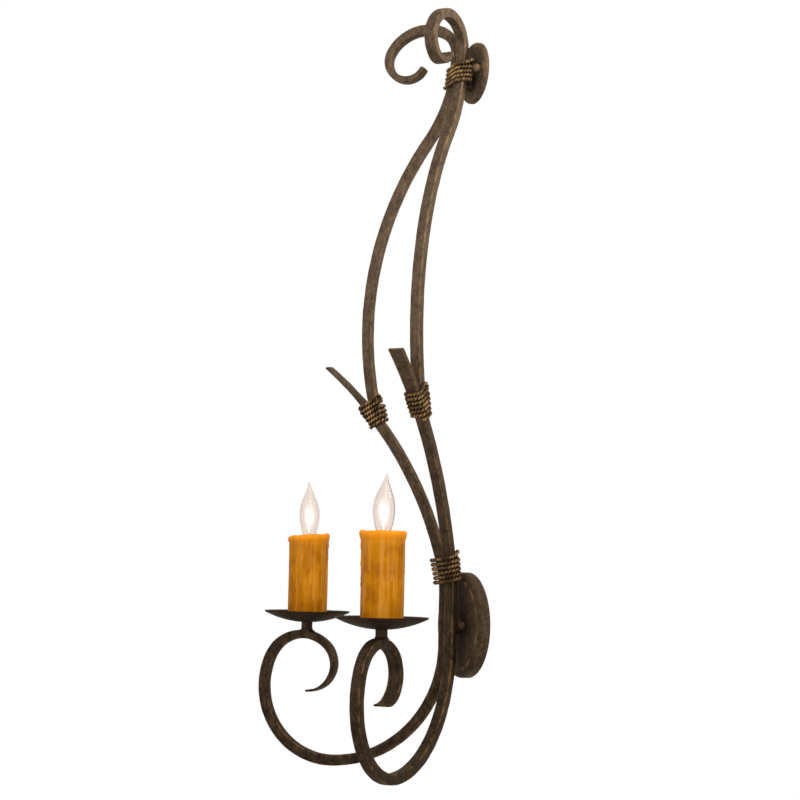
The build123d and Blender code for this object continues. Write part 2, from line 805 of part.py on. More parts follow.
with BuildPart() as center_contact_left:
    mirror(center_contact_right.part, about=Plane.YZ)
write(center_contact_left, "center_contact_left")

# Lamp: cap with contact tip, flame-shaped glass, glass mount and filament
with BuildPart() as bulb_base_right:
    with BuildSketch(candle_axis(cap_bottom)):
        Circle(cap_diameter / 2)
    extrude(amount=cap_height)
    with BuildSketch(candle_axis(cap_bottom + cap_sheet)):
        Circle(cap_diameter / 2 - cap_sheet)
    extrude(amount=cap_height, mode=Mode.SUBTRACT)
    with BuildSketch(candle_axis(cap_bottom)):
        Circle(cap_tip_diameter / 2)
    extrude(amount=-cap_tip_height)
write(bulb_base_right, "bulb_base_right")

with BuildPart() as bulb_base_left:
    mirror(bulb_base_right.part, about=Plane.YZ)
write(bulb_base_left, "bulb_base_left")


def flame(skin):
    """A solid flame shape on the candle's axis, drawn in by a skin thickness."""
    with BuildPart() as shape:
        with BuildSketch(candle_section(glass_bottom)):
            with BuildLine():
                neck = Line((0, skin), (glass_neck_diameter / 2 - skin, skin))
                side = Line(neck @ 1, (glass_neck_diameter / 2 - skin, glass_neck_height))
                swell = Spline(
                    side @ 1,
                    (glass_shoulder_diameter / 2 - skin, glass_shoulder_height),
                    (glass_diameter / 2 - skin, glass_widest),
                    (glass_taper_diameter / 2 - skin, glass_taper_height),
                    (glass_tip_diameter / 2, glass_height - skin),
                )
                tip = Line(swell @ 1, (0, glass_height - skin))
                Line(tip @ 1, neck @ 0)
            make_face()
        revolve(axis=candle_line)
    return shape.part


with BuildPart() as bulb_glass_right:
    add(flame(0))
    add(flame(glass_wall), mode=Mode.SUBTRACT)
write(bulb_glass_right, "bulb_glass_right")

with BuildPart() as bulb_glass_left:
    mirror(bulb_glass_right.part, about=Plane.YZ)
write(bulb_glass_left, "bulb_glass_left")

lamp_stem_bottom = glass_bottom + glass_wall
lamp_stem_top = lamp_stem_bottom + lamp_stem_height
with BuildPart() as bulb_mount_right:
    with BuildSketch(candle_axis(lamp_stem_bottom)):
        Circle(lamp_stem_diameter / 2)
    extrude(amount=lamp_stem_height)
    fillet(bulb_mount_right.edges().group_by(Axis.Z)[-1], radius=lamp_stem_diameter / 4)
    with BuildSketch(candle_axis(lamp_stem_top)):
        with GridLocations(lead_wire_spacing, 0, 2, 1):
            Circle(filament_diameter / 2)
    extrude(amount=-lead_wire_grip, mode=Mode.SUBTRACT)
write(bulb_mount_right, "bulb_mount_right")

with BuildPart() as bulb_mount_left:
    mirror(bulb_mount_right.part, about=Plane.YZ)
write(bulb_mount_left, "bulb_mount_left")

# Filament: one bent wire from support to support
with BuildLine(candle_section(lamp_stem_top)) as filament_line:
    FilletPolyline(
        (-lead_wire_spacing / 2, -lead_wire_grip),
        (-lead_wire_spacing / 2, 0),
        (-lead_wire_spread / 2, lead_wire_height),
        (0, lead_wire_height - filament_dip),
        (lead_wire_spread / 2, lead_wire_height),
        (lead_wire_spacing / 2, 0),
        (lead_wire_spacing / 2, -lead_wire_grip),
        radius=filament_bend,
    )
filament_path = filament_line.wire()
with BuildPart() as bulb_filament_right:
    with BuildSketch(candle_axis(lamp_stem_top - lead_wire_grip)):
        with Locations((-lead_wire_spacing / 2, 0)):
            Circle(filament_diameter / 2)
    sweep(path=filament_path)
write(bulb_filament_right, "bulb_filament_right")

with BuildPart() as bulb_filament_left:
    mirror(bulb_filament_right.part, about=Plane.YZ)
write(bulb_filament_left, "bulb_filament_left")

# Lead: from the connector in the canopy through the nipple and the arm to the lamp holder
fan = radians(lead_fan_angle)
tail_dir = Vector(sin(fan), 0, cos(fan))
wall_dir = Vector(0, -1, 0)
turn_corner = Vector(lead_offset, -lead_wall_gap, lead_exit_height)
bend_corner = Vector(lead_offset, lead_exit.Y + (lead_exit.X - lead_offset) / tan(splay), lead_exit_height)
tail_end = turn_corner + tail_dir * lead_tail


def corner_arc(corner, heading_in, heading_out, radius):
    """An arc that rounds a corner between two headings."""
    reach = radius * tan(radians(heading_in.get_angle(heading_out)) / 2)
    return TangentArc(corner - heading_in * reach, corner + heading_out * reach, tangent=heading_in)


lead_swing = degrees(asin((lead_bend - stem_inset) / (crown_radius + lead_bend)))
with BuildLine(arm_plane) as lead_line:
    turn_arc = corner_arc(turn_corner, tail_dir * -1, wall_dir, lead_turn_bend)
    Line(tail_end, turn_arc @ 0)
    bend_arc = corner_arc(bend_corner, wall_dir, out_dir, lead_nipple_bend)
    Line(turn_arc @ 1, bend_arc @ 0)
    exit_start = lead_exit - out_dir * lead_exit_bend
    Line(bend_arc @ 1, exit_start)
    exit_arc = JernArc(exit_start, out_dir, lead_exit_bend, -90)
    run = Line(exit_arc @ 1, Vector(lead_exit.X, lead_exit.Y, -wall_run_drop))
    run = JernArc(run @ 1, run % 1, entry_radius, entry_turn)
    run = JernArc(run @ 1, run % 1, belly_radius, belly_turn)
    run = JernArc(run @ 1, run % 1, crown_radius, crown_turn - lead_swing)
    run = JernArc(run @ 1, run % 1, lead_bend, lead_swing - 90)
    Line(run @ 1, Vector(candle_x, candle_y, shell_bottom - seat_gap))
lead_path = lead_line.wire()
with BuildPart() as lead_right:
    with BuildSketch(Plane(origin=lead_path @ 0, z_dir=lead_path % 0)):
        Circle(lead_diameter / 2)
    sweep(path=lead_path)
write(lead_right, "lead_right")

with BuildPart() as lead_left:
    mirror(lead_right.part, about=Plane.YZ)
write(lead_left, "lead_left")

# Closed-end connectors on the tails of the leads
with BuildPart() as wire_connectors:
    connector_plane = Plane(origin=tail_end - tail_dir * connector_depth, z_dir=tail_dir)
    with BuildSketch(connector_plane):
        Circle(connector_diameter / 2)
    extrude(amount=connector_length)
    with BuildSketch(connector_plane):
        Circle(lead_diameter / 2 + thread_clearance)
    extrude(amount=connector_depth + thread_clearance, mode=Mode.SUBTRACT)
    mirror(about=Plane.YZ)
write(wire_connectors, "wire_connectors")
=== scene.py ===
import math
import random

import bmesh
import bpy
from mathutils import Matrix, Vector, noise


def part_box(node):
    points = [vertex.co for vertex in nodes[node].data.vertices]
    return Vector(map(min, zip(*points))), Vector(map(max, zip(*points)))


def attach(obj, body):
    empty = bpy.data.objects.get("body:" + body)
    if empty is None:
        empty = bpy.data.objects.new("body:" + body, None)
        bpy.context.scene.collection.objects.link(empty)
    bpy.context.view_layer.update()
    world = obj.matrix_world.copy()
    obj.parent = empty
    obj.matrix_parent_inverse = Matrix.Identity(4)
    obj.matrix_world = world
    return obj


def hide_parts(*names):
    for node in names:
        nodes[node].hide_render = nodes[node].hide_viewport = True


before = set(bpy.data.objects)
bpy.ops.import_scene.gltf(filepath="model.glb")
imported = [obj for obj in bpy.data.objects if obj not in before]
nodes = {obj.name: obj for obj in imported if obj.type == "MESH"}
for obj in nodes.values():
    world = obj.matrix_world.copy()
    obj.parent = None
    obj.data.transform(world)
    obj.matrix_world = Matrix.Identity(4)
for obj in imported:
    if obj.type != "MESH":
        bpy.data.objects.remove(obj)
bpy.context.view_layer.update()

scene = bpy.context.scene

# Sizes of the light in metres, as the solids have them
MM = 0.001
BAR = 12.7 * MM
BAR_HALF = BAR / 2
BAR_CORNER = 2.0 * MM
BAR_GAP = 0.4 * MM
SPLAY = math.radians(40.0)
CANOPY_DEPTH = 13.0 * MM
COLLAR_THICKNESS = 5.8 * MM
BAR_SPREAD = (BAR_HALF - BAR_CORNER) * (math.cos(SPLAY) + math.sin(SPLAY)) + BAR_CORNER
BAR_ROUND = (BAR_HALF - BAR_CORNER) * math.sqrt(2) + BAR_CORNER
RUN_U = (BAR_SPREAD + BAR_GAP / 2) / math.sin(SPLAY)
AXIS_DEPTH = CANOPY_DEPTH + COLLAR_THICKNESS + BAR_SPREAD - RUN_U * math.cos(SPLAY)
PLATE_HEIGHT = 685.0 * MM

# Directions of the right-hand arm plane, and what takes them to each side
OUT = Vector((math.sin(SPLAY), -math.cos(SPLAY), 0))
SIDE = Vector((-math.cos(SPLAY), -math.sin(SPLAY), 0))
UP = Vector((0, 0, 1))
ARM_FOOT = Vector((0, -AXIS_DEPTH, 0))
RIGHT_HAND = Vector((1, 1, 1))
LEFT_HAND = Vector((-1, 1, 1))


def arm_point(u, z):
    """A point of the right-hand arm plane."""
    return ARM_FOOT + OUT * u + UP * z


def clamped(value):
    """A value held between 0 and 1."""
    return max(0.0, min(1.0, value))


def srgb(red, green, blue):
    """A colour given on the 0 to 255 scale, as the shader wants it."""
    def linear(value):
        value /= 255
        return value / 12.92 if value <= 0.04045 else ((value + 0.055) / 1.055) ** 2.4
    return (linear(red), linear(green), linear(blue), 1.0)


# Nodes that the finishes are made of
def object_coords(tree):
    return tree.nodes.new("ShaderNodeTexCoord").outputs["Object"]


def add_split(tree, coords):
    """The X, Y and Z of coordinates."""
    node = tree.nodes.new("ShaderNodeSeparateXYZ")
    tree.links.new(coords, node.inputs[0])
    return node.outputs


def add_scaled(tree, scale):
    """Object coordinates drawn out by a scale."""
    node = tree.nodes.new("ShaderNodeMapping")
    node.inputs["Scale"].default_value = scale
    tree.links.new(object_coords(tree), node.inputs["Vector"])
    return node.outputs["Vector"]


def add_attribute(tree, name):
    node = tree.nodes.new("ShaderNodeAttribute")
    node.attribute_name = name
    return node.outputs["Fac"]


def add_noise(tree, coords, scale, detail, roughness=0.5, distortion=0.0):
    node = tree.nodes.new("ShaderNodeTexNoise")
    node.inputs["Scale"].default_value = scale
    node.inputs["Detail"].default_value = detail
    node.inputs["Roughness"].default_value = roughness
    node.inputs["Distortion"].default_value = distortion
    tree.links.new(coords, node.inputs["Vector"])
    return node.outputs["Fac"]


def add_math(tree, operation, *values, clamp=False):
    node = tree.nodes.new("ShaderNodeMath")
    node.operation = operation
    node.use_clamp = clamp
    for socket, value in zip(node.inputs, values):
        if isinstance(value, (int, float)):
            socket.default_value = value
        else:
            tree.links.new(value, socket)
    return node.outputs[0]


def add_step(tree, value, low, high):
    """A smooth step from 0 at low to 1 at high."""
    node = tree.nodes.new("ShaderNodeMapRange")
    node.interpolation_type = "SMOOTHSTEP"
    node.inputs["From Min"].default_value = low
    node.inputs["From Max"].default_value = high
    tree.links.new(value, node.inputs["Value"])
    return node.outputs["Result"]


def add_mix(tree, factor, first, second):
    """A colour between two colours, given as values or as sockets."""
    node = tree.nodes.new("ShaderNodeMix")
    node.data_type = "RGBA"
    tree.links.new(factor, node.inputs[0])
    for socket, value in ((node.inputs[6], first), (node.inputs[7], second)):
        if isinstance(value, tuple):
            socket.default_value = value
        else:
            tree.links.new(value, socket)
    return node.outputs[2]


# Shader groups that several finishes share; each puts out a colour, a roughness and a height
def new_group(name, inputs):
    group = bpy.data.node_groups.new(name, "ShaderNodeTree")
    for label, kind, value in inputs:
        socket = group.interface.new_socket(label, in_out="INPUT", socket_type=kind)
        socket.default_value = value
    for label, kind in (
        ("Color", "NodeSocketColor"),
        ("Roughness", "NodeSocketFloat"),
        ("Height", "NodeSocketFloat"),
    ):
        group.interface.new_socket(label, in_out="OUTPUT", socket_type=kind)
    return group, group.nodes.new("NodeGroupInput").outputs, group.nodes.new("NodeGroupOutput").inputs


def make_patina():
    """Aged bronze: brown mottling, fine speckle and golden rubbing on edges and in flecks."""
    group, given, result = new_group(
        "patina",
        [
            ("Edge", "NodeSocketFloat", 0.0),
            ("Flecks", "NodeSocketFloat", 0.5),
            ("Dark", "NodeSocketColor", (0.03, 0.02, 0.012, 1)),
            ("Brown", "NodeSocketColor", (0.09, 0.06, 0.04, 1)),
            ("Gold", "NodeSocketColor", (0.25, 0.14, 0.05, 1)),
        ],
    )
    coords = add_scaled(group, (1.0, 1.0, 0.6))
    cloud = add_noise(group, coords, 95.0, 4.0, 0.6)
    speck = add_noise(group, coords, 620.0, 3.0, 0.7)
    fleck = add_noise(group, coords, 240.0, 4.0, 0.65)
    fine = add_math(group, "MULTIPLY", speck, 0.4)
    tone = add_math(group, "MULTIPLY_ADD", cloud, 0.3, fine)
    tone = add_math(group, "MULTIPLY_ADD", fleck, 0.3, tone)
    brown = add_mix(group, add_step(group, tone, 0.36, 0.64), given["Dark"], given["Brown"])
    worn = add_math(group, "MULTIPLY", add_step(group, fleck, 0.58, 0.76), given["Flecks"])
    patchy = add_step(group, add_math(group, "MULTIPLY_ADD", fleck, 0.6, cloud), 0.68, 1.02)
    kept = add_math(group, "MULTIPLY_ADD", patchy, 0.8, 0.1)
    rubbed = add_math(group, "MULTIPLY", given["Edge"], kept)
    gold = add_math(group, "MAXIMUM", worn, rubbed, clamp=True)
    group.links.new(add_mix(group, gold, brown, given["Gold"]), result["Color"])
    rough = add_math(group, "MULTIPLY_ADD", speck, 0.25, 0.42)
    group.links.new(add_math(group, "MULTIPLY_ADD", gold, -0.12, rough), result["Roughness"])
    group.links.new(add_math(group, "MULTIPLY_ADD", cloud, 0.6, fine), result["Height"])
    return group


def make_grain():
    """Fine moulded or drawn surface."""
    group, given, result = new_group(
        "grain",
        [
            ("Light", "NodeSocketColor", (0.8, 0.8, 0.8, 1)),
            ("Deep", "NodeSocketColor", (0.6, 0.6, 0.6, 1)),
            ("Base roughness", "NodeSocketFloat", 0.4),
        ],
    )
    coords = object_coords(group)
    coarse = add_noise(group, coords, 160.0, 3.0)
    fine = add_noise(group, coords, 900.0, 2.0)
    shade = add_mix(group, add_step(group, coarse, 0.35, 0.65), given["Light"], given["Deep"])
    group.links.new(shade, result["Color"])
    rough = add_math(group, "MULTIPLY_ADD", fine, 0.12, given["Base roughness"])
    group.links.new(rough, result["Roughness"])
    group.links.new(fine, result["Height"])
    return group


patina = make_patina()
grain = make_grain()


# Materials
def new_material(name):
    material = bpy.data.materials.new(name)
    material.use_nodes = True
    shader = material.node_tree.nodes["Principled BSDF"]
    return material, material.node_tree, shader


def add_bump(tree, shader, height, strength, distance):
    bump = tree.nodes.new("ShaderNodeBump")
    bump.inputs["Strength"].default_value = strength
    bump.inputs["Distance"].default_value = distance
    tree.links.new(height, bump.inputs["Height"])
    tree.links.new(bump.outputs["Normal"], shader.inputs["Normal"])


def add_finish(tree, shader, group):
    """A finish group that gives a shader its colour and roughness."""
    finish = tree.nodes.new("ShaderNodeGroup")
    finish.node_tree = group
    tree.links.new(finish.outputs["Color"], shader.inputs["Base Color"])
    tree.links.new(finish.outputs["Roughness"], shader.inputs["Roughness"])
    return finish


# Heights between which the painted light from above comes in
FADE_FOOT = -150.0 * MM
FADE_HEAD = 550.0 * MM


def painted_light_by_height(tree, low, high):
    """Painted light from above: a colour that goes from one at the lower curls to another at the upper
    bars.
    """
    height = add_split(tree, object_coords(tree))["Z"]
    return add_mix(tree, add_step(tree, height, FADE_FOOT, FADE_HEAD), low, high)


def bronze_material(name, tones, flecks, edge_name=None, upper=None, gloss=0.04):
    """Bronze paint with golden rubbing where the named attribute says, and painted light making it paler
    higher up if so given.
    """
    material, tree, shader = new_material(name)
    finish = add_finish(tree, shader, patina)
    for label, tone, high in zip(("Dark", "Brown", "Gold"), tones, upper or (None,) * 3):
        finish.inputs[label].default_value = tone
        if high:
            tree.links.new(painted_light_by_height(tree, tone, high), finish.inputs[label])
    finish.inputs["Flecks"].default_value = flecks
    if edge_name:
        tree.links.new(add_attribute(tree, edge_name), finish.inputs["Edge"])
    shader.inputs["Metallic"].default_value = 0.3
    shader.inputs["Specular IOR Level"].default_value = gloss
    shader.inputs["Specular Tint"].default_value = (1.0, 0.78, 0.58, 1.0)
    add_bump(tree, shader, finish.outputs["Height"], 0.35, 0.6 * MM)
    return material


def grain_material(name, light, deep, roughness, metallic):
    """Plain metal or plastic with a fine grain."""
    material, tree, shader = new_material(name)
    finish = add_finish(tree, shader, grain)
    finish.inputs["Light"].default_value = light
    finish.inputs["Deep"].default_value = deep
    finish.inputs["Base roughness"].default_value = roughness
    shader.inputs["Metallic"].default_value = metallic
    add_bump(tree, shader, finish.outputs["Height"], 0.1, 0.2 * MM)
    return material


def cup_material(name, tones, height, radius):
    """Bronze of a wall cup: painted shadow in the middle of its face, and a painted highlight with rubbing
    where the face turns into the side.
    """
    material = bronze_material(name, tones, 0.35)
    tree = material.node_tree
    finish = next(node for node in tree.nodes if node.type == "GROUP")
    coords = object_coords(tree)
    split = add_split(tree, coords)
    # The ring where the face turns into the side is a painted highlight, with patchy rubbing on it
    aside = add_math(tree, "MULTIPLY", split["X"], split["X"])
    above = add_math(tree, "SUBTRACT", split["Z"], height)
    reach = add_math(tree, "SQRT", add_math(tree, "MULTIPLY_ADD", above, above, aside))
    ring = add_math(tree, "ABSOLUTE", add_math(tree, "SUBTRACT", reach, radius))
    worn = add_math(tree, "SUBTRACT", 1.0, add_step(tree, ring, 0.2 * MM, 3.4 * MM))
    patch = add_step(tree, add_noise(tree, coords, 45.0, 2.0), 0.42, 0.62)
    tree.links.new(add_math(tree, "MULTIPLY", worn, patch), finish.inputs["Edge"])
    # Painted shadow: the middle of the face darkened to 0.4 of its tones, clearing towards the ring
    clear_of_painted_shadow = add_step(tree, reach, 0.3 * radius, radius)
    for label, tone in zip(("Dark", "Brown"), tones):
        shade = tuple(value * 0.4 for value in tone[:3]) + (1.0,)
        tree.links.new(add_mix(tree, clear_of_painted_shadow, shade, tone), finish.inputs[label])
    return material


# The upper tones of the bars and ropes are painted light from above
bar_bronze = bronze_material(
    "forged_bronze",
    (srgb(24, 18, 12), srgb(68, 53, 39), srgb(120, 88, 50)),
    0.4,
    edge_name="edge",
    upper=(srgb(60, 49, 38), srgb(106, 88, 70), srgb(126, 96, 62)),
)
rope_bronze = bronze_material(
    "rope_bronze",
    (srgb(30, 20, 12), srgb(72, 55, 36), srgb(168, 126, 78)),
    0.0,
    edge_name="rub",
    upper=(srgb(36, 26, 17), srgb(98, 78, 56), srgb(212, 166, 110)),
)
bronze = bronze_material(
    "aged_bronze",
    (srgb(40, 31, 23), srgb(74, 59, 45), srgb(140, 100, 58)),
    0.45,
)
canopy_bronze = cup_material(
    "canopy_bronze",
    (srgb(48, 38, 28), srgb(88, 71, 54), srgb(170, 126, 80)),
    height=0.0,
    radius=53.5 * MM,
)
plate_bronze = cup_material(
    "plate_bronze",
    (srgb(60, 48, 36), srgb(112, 92, 72), srgb(168, 128, 84)),
    height=PLATE_HEIGHT,
    radius=34.5 * MM,
)
# A paler copy of the aged bronze: painted light on the top ball nuts
nut_bronze = bronze_material(
    "nut_bronze",
    (srgb(84, 68, 52), srgb(140, 116, 92), srgb(196, 156, 110)),
    0.5,
    gloss=0.3,
)
pan_bronze = bronze_material(
    "pan_bronze",
    (srgb(26, 19, 13), srgb(50, 38, 28), srgb(80, 60, 40)),
    0.15,
)
brass = grain_material("plain_brass", srgb(206, 176, 104), srgb(178, 146, 78), 0.3, 1.0)
steel = grain_material("plated_steel", srgb(190, 190, 186), srgb(160, 160, 156), 0.35, 1.0)
holder = grain_material("holder_plastic", srgb(226, 221, 208), srgb(212, 205, 190), 0.45, 0.0)
jacket = grain_material("lead_jacket", srgb(214, 204, 170), srgb(196, 184, 148), 0.45, 0.0)


def make_honey():
    """Honey-coloured candle resin: upright streaks, pale runs on the drips and painted lamplight at the
    top.
    """
    material, tree, shader = new_material("honey_resin")
    streak = add_noise(tree, add_scaled(tree, (1.0, 1.0, 0.09)), 150.0, 3.0, distortion=0.5)
    cloud = add_noise(tree, object_coords(tree), 55.0, 3.0)
    tone = add_math(tree, "MULTIPLY_ADD", streak, 0.5, add_math(tree, "MULTIPLY", cloud, 0.5))
    amber = add_mix(tree, add_step(tree, tone, 0.32, 0.66), srgb(152, 86, 0), srgb(192, 120, 2))
    pale = add_math(tree, "MULTIPLY", add_step(tree, streak, 0.56, 0.78), 0.3)
    drip = add_math(tree, "MULTIPLY", add_attribute(tree, "drip"), 0.8)
    amber = add_mix(tree, add_math(tree, "MAXIMUM", pale, drip), amber, srgb(220, 154, 72))
    # Painted lamplight: the top of the candle turns bright orange
    amber = add_mix(tree, add_attribute(tree, "glow"), amber, srgb(250, 152, 22))
    tree.links.new(amber, shader.inputs["Base Color"])
    rough = add_math(tree, "MULTIPLY_ADD", streak, 0.25, 0.38)
    tree.links.new(rough, shader.inputs["Roughness"])
    shader.inputs["Specular IOR Level"].default_value = 0.06
    add_bump(tree, shader, streak, 0.35, 0.6 * MM)
    return material


def make_clear_glass():
    """Lamp glass, faintly warm, with painted shade where it is seen edge-on and a painted white glow in
    its middle.
    """
    material, tree, shader = new_material("lamp_glass")
    ripple = add_noise(tree, object_coords(tree), 90.0, 2.0)
    facing = tree.nodes.new("ShaderNodeLayerWeight").outputs["Facing"]
    clear = add_mix(tree, ripple, srgb(247, 240, 235), srgb(242, 232, 226))
    shade = add_mix(tree, add_step(tree, facing, 0.35, 0.95), clear, srgb(202, 179, 165))
    tree.links.new(shade, shader.inputs["Base Color"])
    shader.inputs["Roughness"].default_value = 0.08
    shader.inputs["IOR"].default_value = 1.2
    shader.inputs["Transmission Weight"].default_value = 1.0
    middle = add_math(tree, "SUBTRACT", 1.0, add_step(tree, facing, 0.0, 0.2))
    shine = add_math(tree, "MULTIPLY", add_attribute(tree, "shine"), middle)
    lit = add_mix(tree, shine, (0.0, 0.0, 0.0, 1.0), (1.0, 0.97, 0.93, 1.0))
    tree.links.new(lit, shader.inputs["Emission Color"])
    shader.inputs["Emission Strength"].default_value = 0.13
    return material


def make_glowing_wire():
    """Filament wire, lit."""
    material, tree, shader = new_material("glowing_wire")
    flicker = add_noise(tree, object_coords(tree), 300.0, 2.0)
    lit = add_mix(tree, flicker, (1.0, 0.93, 0.82, 1.0), (1.0, 0.98, 0.95, 1.0))
    tree.links.new(lit, shader.inputs["Emission Color"])
    tree.links.new(lit, shader.inputs["Base Color"])
    shader.inputs["Emission Strength"].default_value = 1.6
    return material


honey = make_honey()
lamp_glass = make_clear_glass()
glowing_wire = make_glowing_wire()


# Modelling helpers
def clear_selection():
    if bpy.context.mode != "OBJECT":
        bpy.ops.object.mode_set(mode="OBJECT")
    bpy.ops.object.select_all(action="DESELECT")


def take(name):
    """The new object, under its own name."""
    piece = bpy.context.object
    piece.name = name
    piece.data.name = name
    return piece


def tidy_mesh(piece, smooth_angle=50.0):
    """Merged doubles, outward normals and smooth shading."""
    clear_selection()
    piece.select_set(True)
    bpy.context.view_layer.objects.active = piece
    bpy.ops.object.mode_set(mode="EDIT")
    bpy.ops.mesh.select_all(action="SELECT")
    bpy.ops.mesh.remove_doubles(threshold=0.01 * MM)
    bpy.ops.mesh.normals_make_consistent(inside=False)
    bpy.ops.object.mode_set(mode="OBJECT")
    bpy.ops.object.shade_smooth_by_angle(angle=math.radians(smooth_angle))
    piece.select_set(False)


def dress(piece, material, slot, body, *replaced):
    """Finish, body and the solids that a piece stands for; slot is not used."""
    piece.data.materials.clear()
    piece.data.materials.append(material)
    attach(piece, body)
    if replaced:
        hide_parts(*replaced)


def mirrored(piece, name):
    """A copy on the left-hand side with its own mesh."""
    clear_selection()
    piece.select_set(True)
    bpy.context.view_layer.objects.active = piece
    bpy.ops.object.duplicate(linked=False)
    copy = take(name)
    bpy.ops.transform.resize(value=LEFT_HAND, center_override=(0, 0, 0))
    bpy.ops.object.transform_apply(location=True, rotation=True, scale=True)
    tidy_mesh(copy)
    return copy


def upright_middle(low, high):
    """The upright middle line of a box, at height 0."""
    return Vector(((low[0] + high[0]) / 2, (low[1] + high[1]) / 2, 0))


# Lines of the bars in the arm plane; a leg is (radius, turn in degrees) or (None, length)
WALL_RUN_HEIGHT = 42.4 * MM
RISE_RADIUS = 466.0 * MM
RISE_LEGS = [(115.0 * MM, -13.7), (RISE_RADIUS, -36.2)]
CURL_RADIUS = 46.0 * MM
CURL_LEGS = [(CURL_RADIUS, 108.0), (32.8 * MM, 140.0)]
FALL_LEGS = [(None, 67.4 * MM), (143.7 * MM, 89.0), (88.8 * MM, 115.0), *CURL_LEGS]
SCROLL_START = 709.2 * MM
SCROLL_NECK = (32.5 * MM, -68.6)
SCROLL_LEGS = [SCROLL_NECK, (52.5 * MM, -81.6), (24.5 * MM, -183.8)]

# Forged ends of the bars: width and thickness of their tips
FLARE_TIP = (19.5 * MM, 3.0 * MM)
CURL_TIP = (20.0 * MM, 2.5 * MM)
SCROLL_TIP = (16.5 * MM, 6.5 * MM)
FLARE_TURN = 6.2
FLARE_LEAD = 44.0 * MM
FLARE_EASE = 0.7
FLARE_TWIST = math.radians(-8.0)

# Upper bar: how its foot stands on the lower arm, and the ratio of its two arcs
FOOT_LEAD = 37.9 * MM
FOOT_LIFT = 3.13 * MM
FOOT_ANGLE = math.radians(23.54)
UNDER_SCROLL = 2.7 * MM
BOW_RATIO = 0.4555
UPPER_LEAN = math.radians(-0.5)

# Rubbed corners of the bars, in shares of the bar, and marks of the hammer: noise scale and depth
CORNER_FROM = 0.35
CORNER_SPAN = 0.09
HAMMER_MARKS = [(95.0, 0.22 * MM), (260.0, 0.1 * MM)]


def leg_length(radius, amount):
    return abs(amount) if radius is None else radius * abs(math.radians(amount))


def walk(start, heading, legs, step):
    """Points (u, z) and headings along straight and curved legs in the arm plane."""
    u, z = start
    path = [(u, z, heading)]
    for radius, amount in legs:
        count = max(2, round(leg_length(radius, amount) / step))
        for _ in range(count):
            if radius is None:
                u += amount / count * math.cos(heading)
                z += amount / count * math.sin(heading)
            else:
                turn = math.radians(amount) / count
                chord = 2 * radius * math.sin(abs(turn) / 2)
                u += chord * math.cos(heading + turn / 2)
                z += chord * math.sin(heading + turn / 2)
                heading += turn
            path.append((u, z, heading))
    return path


def lengths(path):
    """The length from a line's start at each of its points."""
    total = [0.0]
    for (u0, z0, _), (u1, z1, _) in zip(path, path[1:]):
        total.append(total[-1] + math.hypot(u1 - u0, z1 - z0))
    return total


def station_at(path, totals, along):
    """The point and heading on a bar's line at a length from its start."""
    for index, total in enumerate(totals):
        if total >= along:
            break
    share = (along - totals[index - 1]) / (total - totals[index - 1])
    (u0, z0, h0), (u1, z1, h1) = path[index - 1], path[index]
    return u0 + (u1 - u0) * share, z0 + (z1 - z0) * share, h0 + (h1 - h0) * share


def line_directions(heading):
    """Along a line of the arm plane, and square to it."""
    along = OUT * math.cos(heading) + UP * math.sin(heading)
    return along, UP * math.cos(heading) - OUT * math.sin(heading)


def bar_frame(u, z, heading, width, thickness):
    """The section's frame at a station: across the arm, square to the line, along the line."""
    along, square = line_directions(heading)
    matrix = Matrix((SIDE * width, square * thickness, along * BAR)).transposed().to_4x4()
    matrix.translation = arm_point(u, z)
    return matrix


# Bars: a rounded square drawn along its line, with hammered faces and rubbed edges
def forge_bar(name, stations):
    """Draws a bar by extruding a rounded section from station to station."""
    clear_selection()
    bpy.ops.mesh.primitive_plane_add(size=1)
    bar = take(name)
    bpy.ops.object.mode_set(mode="EDIT")
    bpy.ops.mesh.select_all(action="SELECT")
    bpy.ops.mesh.bevel(offset=BAR_CORNER / BAR, segments=4, affect="VERTICES")
    mesh = bmesh.from_edit_mesh(bar.data)
    for edge in mesh.edges:
        is_flat_side = edge.calc_length() > 0.5
        edge.select_set(is_flat_side)
    mesh.select_flush_mode()
    bpy.ops.mesh.subdivide(number_cuts=3)
    mesh = bmesh.from_edit_mesh(bar.data)
    rim = mesh.verts.layers.float.new("edge")
    for vert in mesh.verts:
        reach = min(abs(vert.co.x), abs(vert.co.y))
        vert[rim] = clamped((reach - CORNER_FROM) / CORNER_SPAN)
    before = bar_frame(*stations[0])
    bmesh.ops.transform(mesh, matrix=before, verts=mesh.verts)
    bmesh.update_edit_mesh(bar.data)
    bpy.ops.mesh.select_all(action="SELECT")
    for station in stations[1:]:
        after = bar_frame(*station)
        bpy.ops.mesh.extrude_region_move()
        mesh = bmesh.from_edit_mesh(bar.data)
        moved = [vert for vert in mesh.verts if vert.select]
        bmesh.ops.transform(mesh, matrix=after @ before.inverted(), verts=moved)
        before = after
    bmesh.update_edit_mesh(bar.data)
    bpy.ops.object.mode_set(mode="OBJECT")
    tidy_mesh(bar, smooth_angle=60.0)
    for vert in bar.data.vertices:
        dent = sum(noise.noise(vert.co * scale) * depth for scale, depth in HAMMER_MARKS)
        vert.co += vert.normal * dent
    return bar


def forged(share, tip, ease=1.3):
    """Width and thickness on the way from the square bar to a forged tip."""
    eased = max(0.0, share) ** ease
    return tuple(BAR + (size - BAR) * eased for size in tip)


rise = walk((RUN_U, WALL_RUN_HEIGHT), math.pi / 2, RISE_LEGS, step=6 * MM)
fall = walk((RUN_U, WALL_RUN_HEIGHT), -math.pi / 2, FALL_LEGS, step=5 * MM)
rise_length = lengths(rise)
fall_length = lengths(fall)
flare_length = leg_length(RISE_RADIUS, FLARE_TURN)
flare_start = rise_length[-1] - flare_length
curl_length = sum(leg_length(*leg) for leg in CURL_LEGS)

